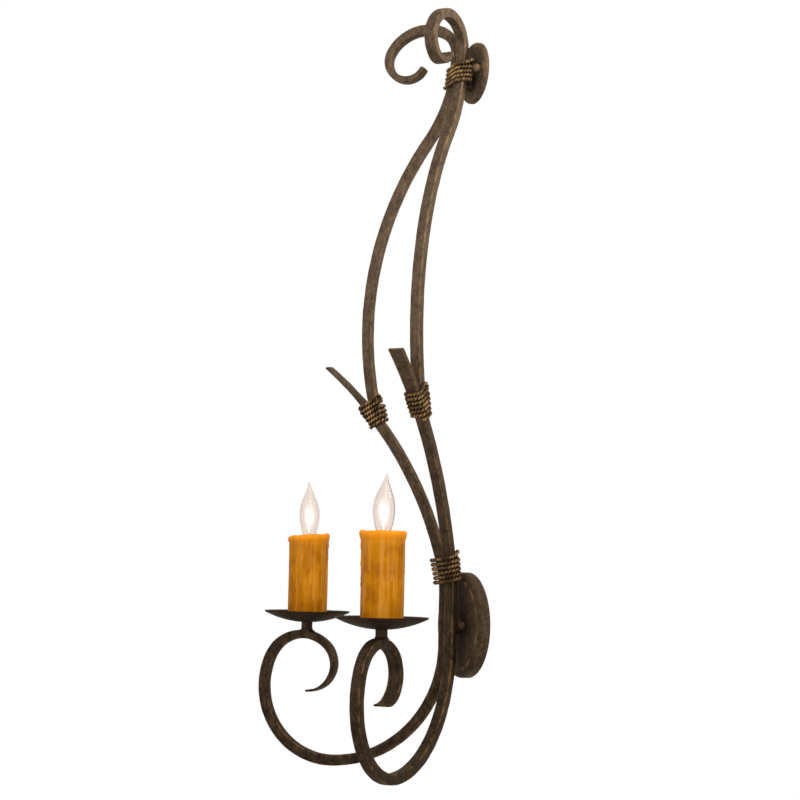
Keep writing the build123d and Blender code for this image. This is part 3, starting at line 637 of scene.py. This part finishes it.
arm_stations = []
for (u, z, heading), along in zip(reversed(rise), reversed(rise_length)):
    share = 1 - (rise_length[-1] - along) / (flare_length + FLARE_LEAD)
    arm_stations.append((u, z, heading + math.pi, *forged(share, FLARE_TIP, FLARE_EASE)))
for (u, z, heading), along in list(zip(fall, fall_length))[1:]:
    share = 1 - (fall_length[-1] - along) / curl_length
    arm_stations.append((u, z, heading, *forged(share, CURL_TIP)))
arm_right = forge_bar("arm_right", arm_stations)
arm_left = mirrored(arm_right, "arm_left")

# The left flare is twisted a little towards its tip, as hammered by hand
tip_u, tip_z, tip_heading = rise[-1]
flare_tip = arm_point(tip_u, tip_z) * LEFT_HAND
flare_course = line_directions(tip_heading)[0] * LEFT_HAND
for vert in arm_left.data.vertices:
    share = 1 - (flare_tip - vert.co).dot(flare_course) / flare_length
    if share > 0:
        angle = FLARE_TWIST * math.sin(min(share, 1.0) * math.pi / 2)
        twist = Matrix.Rotation(angle, 3, flare_course)
        vert.co = flare_tip + twist @ (vert.co - flare_tip)

# Upper bar: two arcs from under the scroll down to its foot on the lower arm, leaning to the wall
foot_u, foot_z, foot_heading = station_at(rise, rise_length, flare_start - FOOT_LEAD)
foot_u -= math.sin(foot_heading) * FOOT_LIFT
foot_z += math.cos(foot_heading) * FOOT_LIFT
foot_lean = math.pi / 2 - foot_heading - FOOT_ANGLE
foot_out = foot_u - RUN_U
foot_fall = SCROLL_START - UNDER_SCROLL - foot_z
turn_share = foot_fall * (BOW_RATIO + math.cos(foot_lean)) - foot_out * math.sin(foot_lean)
turn_share /= (BOW_RATIO + 1) * math.hypot(foot_out, foot_fall)
bow_lean = math.atan2(foot_out, foot_fall) + math.acos(turn_share)
bow_radius = foot_fall / ((BOW_RATIO + 1) * math.sin(bow_lean) + math.sin(foot_lean))
bow_legs = [
    (None, UNDER_SCROLL),
    (bow_radius * BOW_RATIO, math.degrees(bow_lean)),
    (bow_radius, -math.degrees(bow_lean + foot_lean)),
]
bow = walk((RUN_U, SCROLL_START), -math.pi / 2, bow_legs, step=6 * MM)
bow_length = lengths(bow)
scroll = walk((RUN_U, SCROLL_START), math.pi / 2, SCROLL_LEGS, step=4 * MM)
scroll_length = lengths(scroll)
scroll_end = scroll_length[-1] - leg_length(*SCROLL_NECK)
foot_point = arm_point(foot_u, foot_z)
to_wall = Matrix.Rotation(UPPER_LEAN, 4, "X")
to_wall = Matrix.Translation(foot_point) @ to_wall @ Matrix.Translation(-foot_point)
bow_stations = []
for (u, z, heading), along in zip(reversed(scroll), reversed(scroll_length)):
    share = 1 - (scroll_length[-1] - along) / scroll_end
    bow_stations.append((u, z, heading + math.pi, *forged(share, SCROLL_TIP)))
for u, z, heading in bow[1:]:
    bow_stations.append((u, z, heading, BAR, BAR))
bow_right = forge_bar("bow_right", bow_stations)
bow_right.data.transform(to_wall)
bow_left = mirrored(bow_right, "bow_left")

dress(arm_right, bar_bronze, "bronze", "frame", "lower_arm_right")
dress(arm_left, bar_bronze, "bronze", "frame", "lower_arm_left")
dress(bow_right, bar_bronze, "bronze", "frame", "upper_bar_right")
dress(bow_left, bar_bronze, "bronze", "frame", "upper_bar_left")

# Rope of the wraps: its size, the rise of a turn, the length of a twist and its strands
ROPE = 4.7 * MM
ROPE_PITCH = 5.5 * MM
ROPE_LAY = 7.8 * MM
STRAND_RADIUS = ROPE * 0.3
STRAND_OFFSET = ROPE * 0.25
# Where the strands' outer sides get golden rubbing and a painted highlight, in shares of the rope
RUB_AND_SHEEN_FROM = 0.28
RUB_AND_SHEEN_SPAN = 0.24
POINTS_PER_TURN = 110
POINTS_PER_TIE_LEG = 12
END_STEP = ROPE / 4
TAIL_STEPS = 5
NOSE_STEPS = 3

# The way back at the end of a winding, in turns from its last point and in pitches above it
TIE = [(0.0, 0.0), (0.03, 0.25), (0.045, 0.75), (0.03, 1.35), (-0.02, 1.75), (-0.07, 1.6)]
TIE += [(-0.11, 1.2), (-0.16, 1.0), (-0.3, 1.0), (-0.45, 1.0), (-0.52, 1.0)]


def rope(name, points, outs, ups):
    """A two-strand rope along points, with its outward and upward directions; the outer side is rubbed and
    carries a painted highlight.
    """
    pieces = []
    for phase in (0.0, math.pi):
        clear_selection()
        bpy.ops.curve.primitive_nurbs_path_add()
        curve = take(f"{name}_strand")
        curve.data.splines.clear()
        line = curve.data.splines.new("POLY")
        line.points.add(len(points) - 1)
        along = 0.0
        for index, point in enumerate(points):
            if index:
                along += (point - points[index - 1]).length
            angle = phase + 2 * math.pi * along / ROPE_LAY
            aside = outs[index] * math.cos(angle) + ups[index] * math.sin(angle)
            line.points[index].co = (*(point + aside * STRAND_OFFSET), 1.0)
        curve.data.dimensions = "3D"
        curve.data.bevel_depth = STRAND_RADIUS
        curve.data.bevel_resolution = 2
        curve.data.use_fill_caps = True
        bpy.ops.object.convert(target="MESH")
        piece = bpy.context.object
        rub = piece.data.attributes.new("rub", "FLOAT", "POINT")
        ring = len(piece.data.vertices) // len(points)
        for vert in piece.data.vertices:
            index = min(vert.index // ring, len(points) - 1)
            reach = (vert.co - points[index]).dot(outs[index]) / ROPE
            rub.data[vert.index].value = clamped((reach - RUB_AND_SHEEN_FROM) / RUB_AND_SHEEN_SPAN)
        pieces.append(piece)
    clear_selection()
    for piece in pieces:
        piece.select_set(True)
    bpy.context.view_layer.objects.active = pieces[0]
    bpy.ops.object.join()
    whole = take(name)
    tidy_mesh(whole, smooth_angle=70.0)
    return whole


def ring_path(half_wide, half_deep, corner, share):
    """A point of a rounded rectangle and its way out, at a share of the length from the front middle."""
    flat_wide = half_wide - corner
    flat_deep = half_deep - corner
    quarter = math.pi * corner / 2
    legs = [
        ("line", flat_wide, (0, -half_deep), (1, 0), (0, -1)),
        ("turn", quarter, (flat_wide, -flat_deep), -math.pi / 2, None),
        ("line", 2 * flat_deep, (half_wide, -flat_deep), (0, 1), (1, 0)),
        ("turn", quarter, (flat_wide, flat_deep), 0.0, None),
        ("line", 2 * flat_wide, (flat_wide, half_deep), (-1, 0), (0, 1)),
        ("turn", quarter, (-flat_wide, flat_deep), math.pi / 2, None),
        ("line", 2 * flat_deep, (-half_wide, flat_deep), (0, -1), (-1, 0)),
        ("turn", quarter, (-flat_wide, -flat_deep), math.pi, None),
        ("line", flat_wide, (-flat_wide, -half_deep), (1, 0), (0, -1)),
    ]
    along = (share % 1.0) * 4 * (flat_wide + flat_deep + quarter)
    leg = 0
    while along > legs[leg][1] and leg < len(legs) - 1:
        along -= legs[leg][1]
        leg += 1
    kind, _, place, course, out = legs[leg]
    if kind == "line":
        return place[0] + course[0] * along, place[1] + course[1] * along, out
    angle = course + along / corner
    out = (math.cos(angle), math.sin(angle))
    return place[0] + corner * out[0], place[1] + corner * out[1], out


def wrap_rope(name, foot, head, across, wide, deep, corner, turns, slant, start, finish):
    """A rope wound from foot to head and tied; wide, deep and corner are (foot, head) pairs."""
    axis = (head - foot).normalized()
    depth = axis.cross(across).normalized()
    across = depth.cross(axis)
    points, outs = [], []

    def add_point(turn, lift):
        share = turn / turns
        half_wide, half_deep, round_corner = (a + (b - a) * share for a, b in (wide, deep, corner))
        aside, back, out = ring_path(half_wide, half_deep, round_corner, turn)
        level = foot + (head - foot) * share + axis * (slant * back + lift * ROPE_PITCH)
        points.append(level + across * aside + depth * back)
        outs.append((across * out[0] + depth * out[1]).normalized())

    last = turns + finish
    for index in range(round(start * POINTS_PER_TURN), round(last * POINTS_PER_TURN) + 1):
        add_point(index / POINTS_PER_TURN, 0.0)
    for (turn0, lift0), (turn1, lift1) in zip(TIE, TIE[1:]):
        for step in range(1, POINTS_PER_TIE_LEG + 1):
            blend = step / POINTS_PER_TIE_LEG
            add_point(last + turn0 + (turn1 - turn0) * blend, lift0 + (lift1 - lift0) * blend)
    for _ in range(3):
        points[1:-1] = [(a + 2 * b + c) / 4 for a, b, c in zip(points, points[1:], points[2:])]
    tail = (points[0] - points[1]).normalized()
    points[:0] = [points[0] + tail * (END_STEP * step) for step in range(TAIL_STEPS, 0, -1)]
    nose = (points[-1] - points[-2]).normalized()
    points += [points[-1] + nose * (END_STEP * step) for step in range(1, NOSE_STEPS + 1)]
    outs = [outs[0]] * TAIL_STEPS + outs + [outs[-1]] * NOSE_STEPS
    courses = [(b - a).normalized() for a, b in zip(points, points[1:])]
    courses.append(courses[-1])
    ups = [out.cross(course).normalized() for out, course in zip(outs, courses)]
    return rope(name, points, outs, ups)


def bar_pair_wrap(name, foot_station, head_station, turns, slant, stand):
    """A rope round both bars where they run side by side."""
    foot, head = arm_point(*foot_station[:2]), arm_point(*head_station[:2])
    return wrap_rope(
        name,
        Vector((0, foot.y, foot.z)),
        Vector((0, head.y, head.z)),
        across=Vector((1, 0, 0)),
        wide=(foot.x + stand, head.x + stand),
        deep=(stand, stand),
        corner=(stand * 0.85, stand * 0.85),
        turns=turns,
        slant=slant,
        start=-0.12,
        finish=-1.62,
    )


# Wraps round both arms and round both upper bars: where they lie along the bars, and how far out
LOWER_WRAP = (10.8 * MM, 43.8 * MM)
TOP_WRAP = (40.5 * MM, 13.0 * MM)
TOP_WRAP_BACK = 1.5 * MM
LOWER_STAND = BAR_ROUND + ROPE / 2 + 0.35 * MM
TOP_STAND = LOWER_STAND - 0.9 * MM

lower_foot, lower_head = (station_at(rise, rise_length, along) for along in LOWER_WRAP)
lower_rope = bar_pair_wrap("lower_rope", lower_foot, lower_head, turns=6, slant=0.05, stand=LOWER_STAND)
top_foot, top_head = (station_at(bow, bow_length, along) for along in TOP_WRAP)
top_rope = bar_pair_wrap("top_rope", top_foot, top_head, turns=5, slant=0.25, stand=TOP_STAND)
top_rope.data.transform(to_wall @ Matrix.Translation((0, TOP_WRAP_BACK, 0)))
dress(lower_rope, rope_bronze, "wrap_wire", "frame", "lower_wrap")
dress(top_rope, rope_bronze, "wrap_wire", "frame", "top_wrap")

# Wraps round an arm and the foot of its upper bar; each side's ends in another place
MID_LEAD = 48.0 * MM
MID_LENGTH = 27.5 * MM
MID_STAND = ROPE / 2 + 0.5 * MM
MID_DEPTH = BAR_HALF + ROPE / 2 + 0.4 * MM

mid_start = flare_start - MID_LEAD
mid_foot = station_at(rise, rise_length, mid_start)
mid_head = station_at(rise, rise_length, mid_start + MID_LENGTH)
mid_up = line_directions(mid_head[2])[1]
for side, hand, finish in (("right", RIGHT_HAND, 0.08), ("left", LEFT_HAND, -0.8)):
    side_rope = wrap_rope(
        f"mid_rope_{side}",
        arm_point(*mid_foot[:2]) * hand,
        (arm_point(*mid_head[:2]) + mid_up * BAR_HALF) * hand,
        across=mid_up * hand,
        wide=(BAR_HALF + MID_STAND, BAR + MID_STAND),
        deep=(MID_DEPTH, MID_DEPTH),
        corner=(5.0 * MM, 5.5 * MM),
        turns=5,
        slant=0.0,
        start=-0.1,
        finish=finish,
    )
    dress(side_rope, rope_bronze, "wrap_wire", "frame", f"mid_wrap_{side}")


# Turned pieces: a closed outline spun round an upright axis
def spun(name, outline, steps, centre):
    """A closed outline of (radius, height) spun round an upright axis."""
    clear_selection()
    bpy.ops.mesh.primitive_circle_add(vertices=len(outline), radius=1.0)
    piece = take(name)
    for vert, (radius, height) in zip(piece.data.vertices, outline):
        vert.co = (centre.x + radius, centre.y, height)
    bpy.ops.object.mode_set(mode="EDIT")
    bpy.ops.mesh.select_all(action="SELECT")
    bpy.ops.mesh.spin(steps=steps, angle=2 * math.pi, center=(centre.x, centre.y, 0), axis=(0, 0, 1))
    bpy.ops.object.mode_set(mode="OBJECT")
    tidy_mesh(piece)
    return piece


def spaced(outline, spacing):
    """An outline's points with more set between them at a spacing."""
    dense = []
    for (r0, z0), (r1, z1) in zip(outline, outline[1:] + outline[:1]):
        count = max(1, round(math.hypot(r1 - r0, z1 - z0) / spacing))
        dense += [(r0 + (r1 - r0) * k / count, z0 + (z1 - z0) * k / count) for k in range(count)]
    return dense


# Weld fillets where the stems stand on the curls
WELD_THROAT = 3.6 * MM
WELD_SINK = 0.4 * MM
WELD_BRIM = 0.9 * MM
WELD_LUMPS = 0.25 * MM
WELD_STEPS = 48


def make_weld(side):
    """A hollow fillet round a stem's foot, drawn in to the bar's width and bent over the curl."""
    low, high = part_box(f"stem_{side}")
    centre = upright_middle(low, high)
    reach, foot = (high[0] - low[0]) / 2, low[2]
    outline = [(reach - WELD_SINK, foot + WELD_SINK), (reach + WELD_THROAT, foot + WELD_SINK)]
    for degrees in (0, 18, 36, 54, 72, 90):
        angle = math.radians(degrees)
        beyond = WELD_THROAT * (1 - math.sin(angle))
        above = WELD_THROAT * (1 - math.cos(angle))
        outline.append((reach + beyond, foot + WELD_BRIM + above))
    outline.append((reach - WELD_SINK, foot + WELD_BRIM + WELD_THROAT))
    weld = spun(f"weld_{side}", outline, WELD_STEPS, centre)
    along = OUT * (LEFT_HAND if side == "left" else RIGHT_HAND)
    across = Vector((-along.y, along.x, 0))
    for vert in weld.data.vertices:
        place = vert.co - centre
        aside = place.dot(across)
        if abs(aside) > reach:
            vert.co -= across * ((abs(aside) - reach) * 0.9 * math.copysign(1.0, aside))
        vert.co.z -= max(0.0, abs(place.dot(along)) - reach * 0.6) ** 2 / (2 * CURL_RADIUS)
        vert.co += Vector((1, 1, 0)) * (noise.noise(vert.co * 400) * WELD_LUMPS)
    dress(weld, bar_bronze, "bronze", "frame")


make_weld("right")
make_weld("left")

# Candles: a resin sleeve with runs of wax and a swollen, uneven lip
CANDLE_OUTER = 24.3 * MM
CANDLE_BORE = 19.2 * MM
CANDLE_SPACING = 1.7 * MM
CANDLE_STEPS = 280
WAX_RUNS = 58
LONG_RUNS = 0.7
WIDE_RUN = 0.05
RUN_FADE = 3 * MM
SWAY_LENGTH = 9 * MM
BEAD_SPAN = 3.5 * MM
SKIN_FROM = CANDLE_BORE + 1.5 * MM
SKIN_SPAN = 3 * MM
LIP_DEPTH = 12 * MM
LIP_SPAN = 8 * MM
LAMPLIGHT_DEPTH = 16 * MM
MOST_DENT = -0.6 * MM
MOST_SWELL = 1.7 * MM
VIEW_RIGHT = Vector((0.4, 0.917, 0))


def wax_runs(seed, top):
    """Runs of wax: angle, width, lower end, swell, lean and (sway, its start); long ones are thin."""
    maker = random.Random(seed)
    runs = []
    for _ in range(WAX_RUNS):
        long = maker.random() < LONG_RUNS
        width = maker.uniform(0.018, 0.045) if long else maker.uniform(WIDE_RUN, 0.085)
        swell = maker.uniform(0.08, 0.3) * MM if long else maker.uniform(0.35, 0.75) * MM
        end = top - (maker.uniform(30, 104) if long else maker.uniform(14, 70)) * MM
        wander = (maker.uniform(0.0, 0.06), maker.uniform(0, 2 * math.pi))
        angle = maker.uniform(0, 2 * math.pi)
        runs.append((angle, width, end, swell, maker.uniform(-0.35, 0.35), wander))
    return runs


def wax_at(runs, turn, height, top):
    """How far the runs stand out at a place of the candle's side, and how near it is to a crest."""
    stands = 0.0
    crest = 0.0
    for angle, width, end, swell, lean, (sway, start) in runs:
        path = angle + lean * (top - height) * 3
        path += sway * math.sin((top - height) / SWAY_LENGTH + start)
        offset = (turn - path + math.pi) % (2 * math.pi) - math.pi
        fade = clamped((height - end) / RUN_FADE)
        bead = math.exp(-(((height - end - RUN_FADE) / BEAD_SPAN) ** 2))
        shape = math.exp(-((offset / (width * (1 + 0.35 * bead))) ** 2))
        stands += swell * shape * fade * (1 + 0.7 * bead)
        crest = max(crest, shape * fade * (1.0 if width < WIDE_RUN else 0.45))
    return stands, crest


def ring_noise(turn, reach, level):
    """Noise that closes on itself round the candle."""
    return noise.noise(Vector((math.cos(turn) * reach, math.sin(turn) * reach, level)))


def make_candle(side, seed, lift, slope):
    """A candle whose lip is lifted and slopes down to the left of the photograph's view."""
    low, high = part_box(f"candle_sleeve_{side}")
    centre = upright_middle(low, high)
    base, top = low[2], high[2]
    outline = [
        (CANDLE_BORE, base),
        (CANDLE_OUTER, base),
        (CANDLE_OUTER, top - 10 * MM),
        (CANDLE_OUTER + 1.5 * MM, top - 6.5 * MM),
        (CANDLE_OUTER + 2.0 * MM, top - 3.5 * MM),
        (CANDLE_OUTER + 1.3 * MM, top - 1.2 * MM),
        (CANDLE_OUTER - 0.8 * MM, top - 0.2 * MM),
        (CANDLE_BORE + 2.4 * MM, top - 0.4 * MM),
        (CANDLE_BORE + 0.5 * MM, top - 1.8 * MM),
        (CANDLE_BORE, top - 4.0 * MM),
    ]
    candle = spun(f"candle_{side}_wax", spaced(outline, CANDLE_SPACING), CANDLE_STEPS, centre)
    runs = wax_runs(seed, top)
    drip = candle.data.attributes.new("drip", "FLOAT", "POINT")
    glow = candle.data.attributes.new("glow", "FLOAT", "POINT")
    for vert in candle.data.vertices:
        place = vert.co - centre
        radius = math.hypot(place.x, place.y)
        turn = math.atan2(place.y, place.x)
        height = vert.co.z
        skin = clamped((radius - SKIN_FROM) / SKIN_SPAN)
        near_lip = clamped((height - top + LIP_DEPTH) / LIP_SPAN)
        swell, crest = wax_at(runs, turn, height, top)
        streak = ring_noise(turn, 7, height * 14)
        ripple = ring_noise(turn, 22, height * 30)
        lumps = ring_noise(turn, 2.2, seed * 3.7)
        sag = ring_noise(turn, 1.6, seed * 1.9 + 4)
        swell += (0.3 * streak + 0.16 * ripple) * MM + 1.5 * MM * lumps * near_lip
        swell = max(MOST_DENT, min(MOST_SWELL, swell))
        out = Vector((place.x, place.y, 0)).normalized()
        vert.co += out * (swell * skin)
        along_slope = out.dot(VIEW_RIGHT) * 0.5 - 0.5
        vert.co.z += (lift + sag * 1.6 * MM + along_slope * slope) * near_lip
        mottle = 0.5 + 0.5 * noise.noise(Vector((turn * 3, height * 40, seed)))
        drip.data[vert.index].value = crest * skin * mottle
        # Painted lamplight from the lamp above, strongest at the lip
        glow.data[vert.index].value = clamped((height - top + LAMPLIGHT_DEPTH) / LAMPLIGHT_DEPTH) ** 1.5
    dress(candle, honey, "candle_resin", f"candle_{side}", f"candle_sleeve_{side}")


make_candle("right", 3, 1.8 * MM, 0.6 * MM)
make_candle("left", 8, 1.6 * MM, 4.0 * MM)

# Lamps: a blown flame of thin glass whose tip leans, from (height, radius) in millimetres
LAMP_SIDE = [(0, 5.2), (4, 5.2), (9, 6.3), (16, 8.2), (24, 10.4), (31, 11.8), (40, 12.6), (48, 12.0)]
LAMP_SIDE += [(55, 10.5), (61, 8.3), (68, 5.5), (75, 2.7), (82, 0.5)]
LAMP_WALL = 0.7 * MM
LAMP_TIP = 0.4 * MM
LAMP_HOLLOW = 0.3 * MM
LAMP_STEPS = 64
POINTS_PER_KNOT = 5
SOLID_POINTS = 6
BEND_FROM = 0.45
SHINE_LEVEL = 0.48
SHINE_SPAN = 0.15


def smooth_between(a, b, c, d, t):
    """A smooth value at a share t of the way from b to c, whose neighbours are a and d."""
    bend = 2 * a - 5 * b + 4 * c - d
    swing = 3 * b - a - 3 * c + d
    return 0.5 * (2 * b + (c - a) * t + bend * t * t + swing * t**3)


def smooth_side(knots, count):
    """Points (radius, height) on a smooth line through knots of (height, radius)."""
    points = []
    for index in range(len(knots) - 1):
        z0, r0 = knots[max(0, index - 1)]
        z1, r1 = knots[index]
        z2, r2 = knots[index + 1]
        z3, r3 = knots[min(len(knots) - 1, index + 2)]
        for step in range(count):
            radius = smooth_between(r0, r1, r2, r3, step / count)
            points.append((max(radius, LAMP_TIP), smooth_between(z0, z1, z2, z3, step / count)))
    points.append((knots[-1][1], knots[-1][0]))
    return points


def make_lamp(side, lean):
    """A lamp's glass, solid at its tip, whose upper half leans."""
    low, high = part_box(f"bulb_glass_{side}")
    base, tip = low[2], high[2]
    outside = smooth_side([(z * MM, r * MM) for z, r in LAMP_SIDE], POINTS_PER_KNOT)
    inside = [
        (max(radius - LAMP_WALL, LAMP_HOLLOW), max(height, LAMP_WALL))
        for radius, height in outside[:-SOLID_POINTS]
    ]
    outline = [(radius, base + height) for radius, height in outside + inside[::-1]]
    lamp = spun(f"lamp_{side}_glass", outline, LAMP_STEPS, upright_middle(low, high))
    shine = lamp.data.attributes.new("shine", "FLOAT", "POINT")
    for vert in lamp.data.vertices:
        level = (vert.co.z - base) / (tip - base)
        bend = max(0.0, level - BEND_FROM) / (1 - BEND_FROM)
        vert.co += Vector((*lean, 0)) * (bend**2)
        shine.data[vert.index].value = math.exp(-(((level - SHINE_LEVEL) / SHINE_SPAN) ** 2))
    dress(lamp, lamp_glass, "clear_glass", f"bulb_{side}", f"bulb_glass_{side}")


make_lamp("right", (1.2 * MM, 2.6 * MM))
make_lamp("left", (-0.6 * MM, -1.4 * MM))

# Finishes on the solids that show as they are; the other hardware is steel
finishes = {
    "canopy": canopy_bronze,
    "canopy_ball_nuts": bronze,
    "bar_collar": bronze,
    "stem": bronze,
    "drip_pan": pan_bronze,
    "top_plate": plate_bronze,
    "top_post": bronze,
    "top_ball_nuts": nut_bronze,
    "bulb_base": brass,
    "screw_shell": brass,
    "center_contact": brass,
    "socket": holder,
    "lead": jacket,
    "wire_connectors": jacket,
    "bulb_filament": glowing_wire,
    "bulb_mount": lamp_glass,
}
for name, node in nodes.items():
    kind = name.replace("_left", "").replace("_right", "")
    node.data.materials.clear()
    node.data.materials.append(finishes.get(kind, steel))

# Stage: pale floor well below the light, white surroundings and soft lamps
FLOOR_SIZE = 3.6
FLOOR_PLACE = (0, -0.2, -0.5)
SKY_LIGHT = 0.55

clear_selection()
bpy.ops.mesh.primitive_plane_add(size=FLOOR_SIZE, location=FLOOR_PLACE)
floor = take("floor")
floor_paint, floor_tree, floor_shader = new_material("floor_paint")
floor_noise = add_noise(floor_tree, object_coords(floor_tree), 3.0, 2.0)
floor_shade = add_mix(floor_tree, floor_noise, (0.84, 0.84, 0.84, 1), (0.8, 0.8, 0.8, 1))
floor_tree.links.new(floor_shade, floor_shader.inputs["Base Color"])
floor_shader.inputs["Roughness"].default_value = 0.9
floor.data.materials.append(floor_paint)

# The surroundings look white, and give the light SKY_LIGHT of that
world = bpy.data.worlds.new("surroundings")
scene.world = world
world.use_nodes = True
sky = world.node_tree
for node in list(sky.nodes):
    sky.nodes.remove(node)
rays = sky.nodes.new("ShaderNodeLightPath").outputs
seen = add_math(sky, "MAXIMUM", rays["Is Camera Ray"], rays["Is Glossy Ray"])
seen = add_math(sky, "MAXIMUM", seen, rays["Is Transmission Ray"])
strength = add_math(sky, "MULTIPLY_ADD", seen, 1 - SKY_LIGHT, SKY_LIGHT)
backdrop = sky.nodes.new("ShaderNodeBackground")
backdrop.inputs["Color"].default_value = (1, 1, 1, 1)
sky.links.new(strength, backdrop.inputs["Strength"])
sky_out = sky.nodes.new("ShaderNodeOutputWorld")
sky.links.new(backdrop.outputs[0], sky_out.inputs["Surface"])


def soft_lamp(name, place, target, size, power, spread=180.0):
    """A square lamp that faces a target."""
    bpy.ops.object.light_add(type="AREA", location=place)
    lamp = bpy.context.object
    lamp.name = name
    lamp.data.size = size
    lamp.data.energy = power
    lamp.data.spread = math.radians(spread)
    lamp.rotation_euler = (Vector(target) - Vector(place)).to_track_quat("-Z", "Y").to_euler()


soft_lamp("key_lamp", (1.9, -0.2, 1.7), (0, -0.1, 0.3), size=1.2, power=33)
soft_lamp("fill_lamp", (1.2, -2.0, 0.6), (0, -0.1, 0.2), size=1.2, power=13)
soft_lamp("rim_lamp", (0.9, 1.3, 1.1), (0, -0.05, 0.75), size=0.4, power=2.0, spread=48.0)

# Camera at the photograph's place, as fitted to the lines of the arms
CAMERA_TURN = math.radians(67.261)
CAMERA_TILT = math.radians(5.636)
CAMERA_ROLL = math.radians(1.117)
CAMERA_PLACE = Vector((1919.52 * MM, -882.14 * MM - AXIS_DEPTH, 63.65 * MM))
CAMERA_LENS = 77.94
CAMERA_SENSOR = 36.0

ahead = Vector((-math.sin(CAMERA_TURN), math.cos(CAMERA_TURN), 0))
right = Vector((math.cos(CAMERA_TURN), math.sin(CAMERA_TURN), 0))
forward = ahead * math.cos(CAMERA_TILT) + UP * math.sin(CAMERA_TILT)
upward = right.cross(forward)
camera_right = right * math.cos(CAMERA_ROLL) + upward * math.sin(CAMERA_ROLL)
camera_up = upward * math.cos(CAMERA_ROLL) - right * math.sin(CAMERA_ROLL)
pose = Matrix((camera_right, camera_up, -forward)).transposed().to_4x4()
pose.translation = CAMERA_PLACE
clear_selection()
bpy.ops.object.camera_add()
camera = bpy.context.object
camera.matrix_world = pose
camera.data.sensor_width = CAMERA_SENSOR
camera.data.lens = CAMERA_LENS
scene.camera = camera
scene.view_settings.view_transform = "Standard"

bpy.context.view_layer.update()
